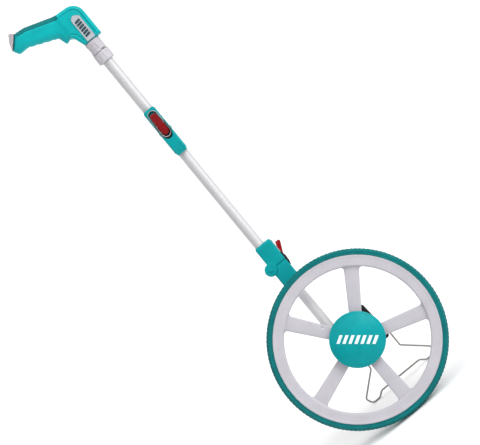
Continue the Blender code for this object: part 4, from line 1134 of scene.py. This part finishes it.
def build_handle():
    low_u, high_u, low_v, high_v = -149, -5, 702, 798
    for side, name in ((-1, "near"), (1, "far")):
        w0, w1 = sorted((TUBE_W + side * (HANDLE_HALF + 1), TUBE_W))
        mesh = moulded(shell_field(side), (low_u, w0, low_v), (high_u, w1, high_v), 1)
        add_piece(mesh, f"grip_half_{name}", "mast_upper", handle_finish, "handle",
                  f"handle_shell_{name}", sharp=60)

    def spine(u, w, v):
        body = handle_body(u, w, v)
        ribs = 0.35 * np.clip(np.cos(2 * pi * u / 5) * 3, -1, 1)
        ribs = np.where(spine_region(u, v) < -2.5, 0.6 * ribs, 0)
        skin = meet(body - 0.35 - ribs, -1.1 - body)
        return meet(skin, spine_region(u, v) + 0.15, 0.5)

    mesh = moulded(spine, (-127, TUBE_W - 17, 760), (-14, TUBE_W + 17, 799), 0.8)
    add_piece(mesh, "grip_back_pad", "mast_upper", grip_finish, "grip", "grip_spine", sharp=60)

    butt_outline = polygon(rounded([(-124.5, 797, 0), (-133.5, 803.4, 2.5),
                                    (-142.5, 789.5, 5), (-147.6, 774.5, 0)]))

    def butt(u, w, v):
        body = meet(butt_outline(u, v), np.abs(w - TUBE_W) - 12, 1.6)
        return cut(body, handle_outline(u, v) - 0.1, 0.1)

    mesh = moulded(butt, (-148, TUBE_W - 12, 773), (-124, TUBE_W + 12, 804), 0.7)
    add_piece(mesh, "grip_butt", "mast_upper", butt_finish, "butt", "butt_cap", sharp=60)


def on_front(x, y, height):
    """A point on the handle's near side; height grows out of it."""
    return (x, TUBE_W - HANDLE_HALF - GAP - height, y)


def build_label():
    steps = [(0, -0.6), (0, 0.9), (0.15, 1.2), (0.5, 1.4), (1.6, 1.4), (1.9, 1.2)]
    add_piece(layered(rounded(PLATE_CORNERS), steps, on_front), "label_face", "mast_upper",
              plate_finish, "label", "label_plate", sharp=30)
    bars = []
    for index in range(6):
        v = 710.5 + index * 5.8
        corners = [(-31, v, 0.8), (-20, v + 1.6, 0.8), (-20, v + 5.8, 0.8),
                   (-31, v + 4.2, 0.8)]
        bars.append(layered(rounded(corners), [(0, 1.1), (0, 1.6), (0.3, 1.9)], on_front))
    add_piece(gathered(bars), "label_ridges", "mast_upper", bars_finish, "label", "label_bars",
              sharp=30)


# ---- CAD nodes that stay ----
def finish_kept_nodes():
    kept = [(steel_finish, ["axle_washer", "axle_nut", "idler_pin", "drum_shaft", "reset_spring",
                            "lever_pin_lower", "lever_pin_mid", "latch_spring_lower",
                            "latch_spring_mid"]),
            (nylon_finish, ["axle_spacer", "axle_bush_front"]),
            (acetal_finish, ["drive_gear", "idler_gear", "counter_gear"])]
    for finish, nodes in kept:
        for node in nodes:
            slot = frame["nodes"][node].material_slots[0]
            slot.link = 'OBJECT'
            slot.material = finish


# ---- studio ----
def build_floor():
    half = 40
    mesh = bpy.data.meshes.new("floor")
    mesh.from_pydata([(-half, -half, 0), (half, -half, 0), (half, half, 0), (-half, half, 0)],
                     [], [(0, 1, 2, 3)])
    mesh.materials.append(floor_finish())
    floor = linked("floor", mesh)


def add_sun(name, towards, strength, spread):
    """A soft light from far away, so that the floor is lit evenly."""
    light = bpy.data.lights.new(name, 'SUN')
    light.energy = strength
    light.angle = radians(spread)
    lamp = linked(name, light)
    lamp.rotation_mode = 'QUATERNION'
    lamp.rotation_quaternion = (-Vector(towards)).to_track_quat('-Z', 'Y')


def build_lights():
    world = bpy.data.worlds.new("studio")
    world.use_nodes = True
    world.node_tree.nodes["Background"].inputs[0].default_value = (1, 1, 1, 1)
    world.node_tree.nodes["Background"].inputs[1].default_value = 0.4
    bpy.context.scene.world = world
    add_sun("key", (0.80, -0.45, 0.62), 2, 40)
    add_sun("front", (0.00, -0.90, 0.60), 0.2, 60)
    add_sun("top", (0.00, -0.05, 1.00), 1.9, 100)


def build_camera():
    aim = DEVICE @ (Vector(VIEW_AIM) * MM)
    back = Vector((sin(VIEW_AZIMUTH) * cos(VIEW_ELEVATION),
                   -cos(VIEW_AZIMUTH) * cos(VIEW_ELEVATION), sin(VIEW_ELEVATION)))
    tube = (TUBE_WAY - back * TUBE_WAY.dot(back)).normalized()
    aside = back.cross(tube)
    right = tube * cos(TUBE_ANGLE) - aside * sin(TUBE_ANGLE)
    up = back.cross(right)
    camera = bpy.data.cameras.new("camera")
    camera.sensor_width = 36
    camera.lens = camera.sensor_width * VIEW_DISTANCE / VIEW_WIDTH
    camera.clip_start, camera.clip_end = 0.05, 100
    placed = Matrix((right, up, back)).transposed().to_4x4()
    placed.translation = aim + back * VIEW_DISTANCE
    holder = linked("camera", camera)
    holder.matrix_world = placed
    bpy.context.scene.camera = holder


red_finish = lever_finish()
bpy.context.scene.view_settings.view_transform = 'Standard'
build_camera()
build_floor()
build_lights()
build_tyre()
build_rim()
build_cap()
build_cap_mark()
build_axle_end()
build_housing()
build_cover()
build_screws()
build_window()
build_drums()
build_button()
build_kickstand()
build_leg()
build_tubes()
build_collars()
build_fold("lower", -11.7, LEG_R, LEG_U - TUBE_U, LOWER_R, "frame", "mast_lower", "latch_lower")
build_fold("mid", -18, LOWER_R, 0, UPPER_R, "mast_lower", "mast_upper", "latch_mid")
build_handle()
build_label()
finish_kept_nodes()
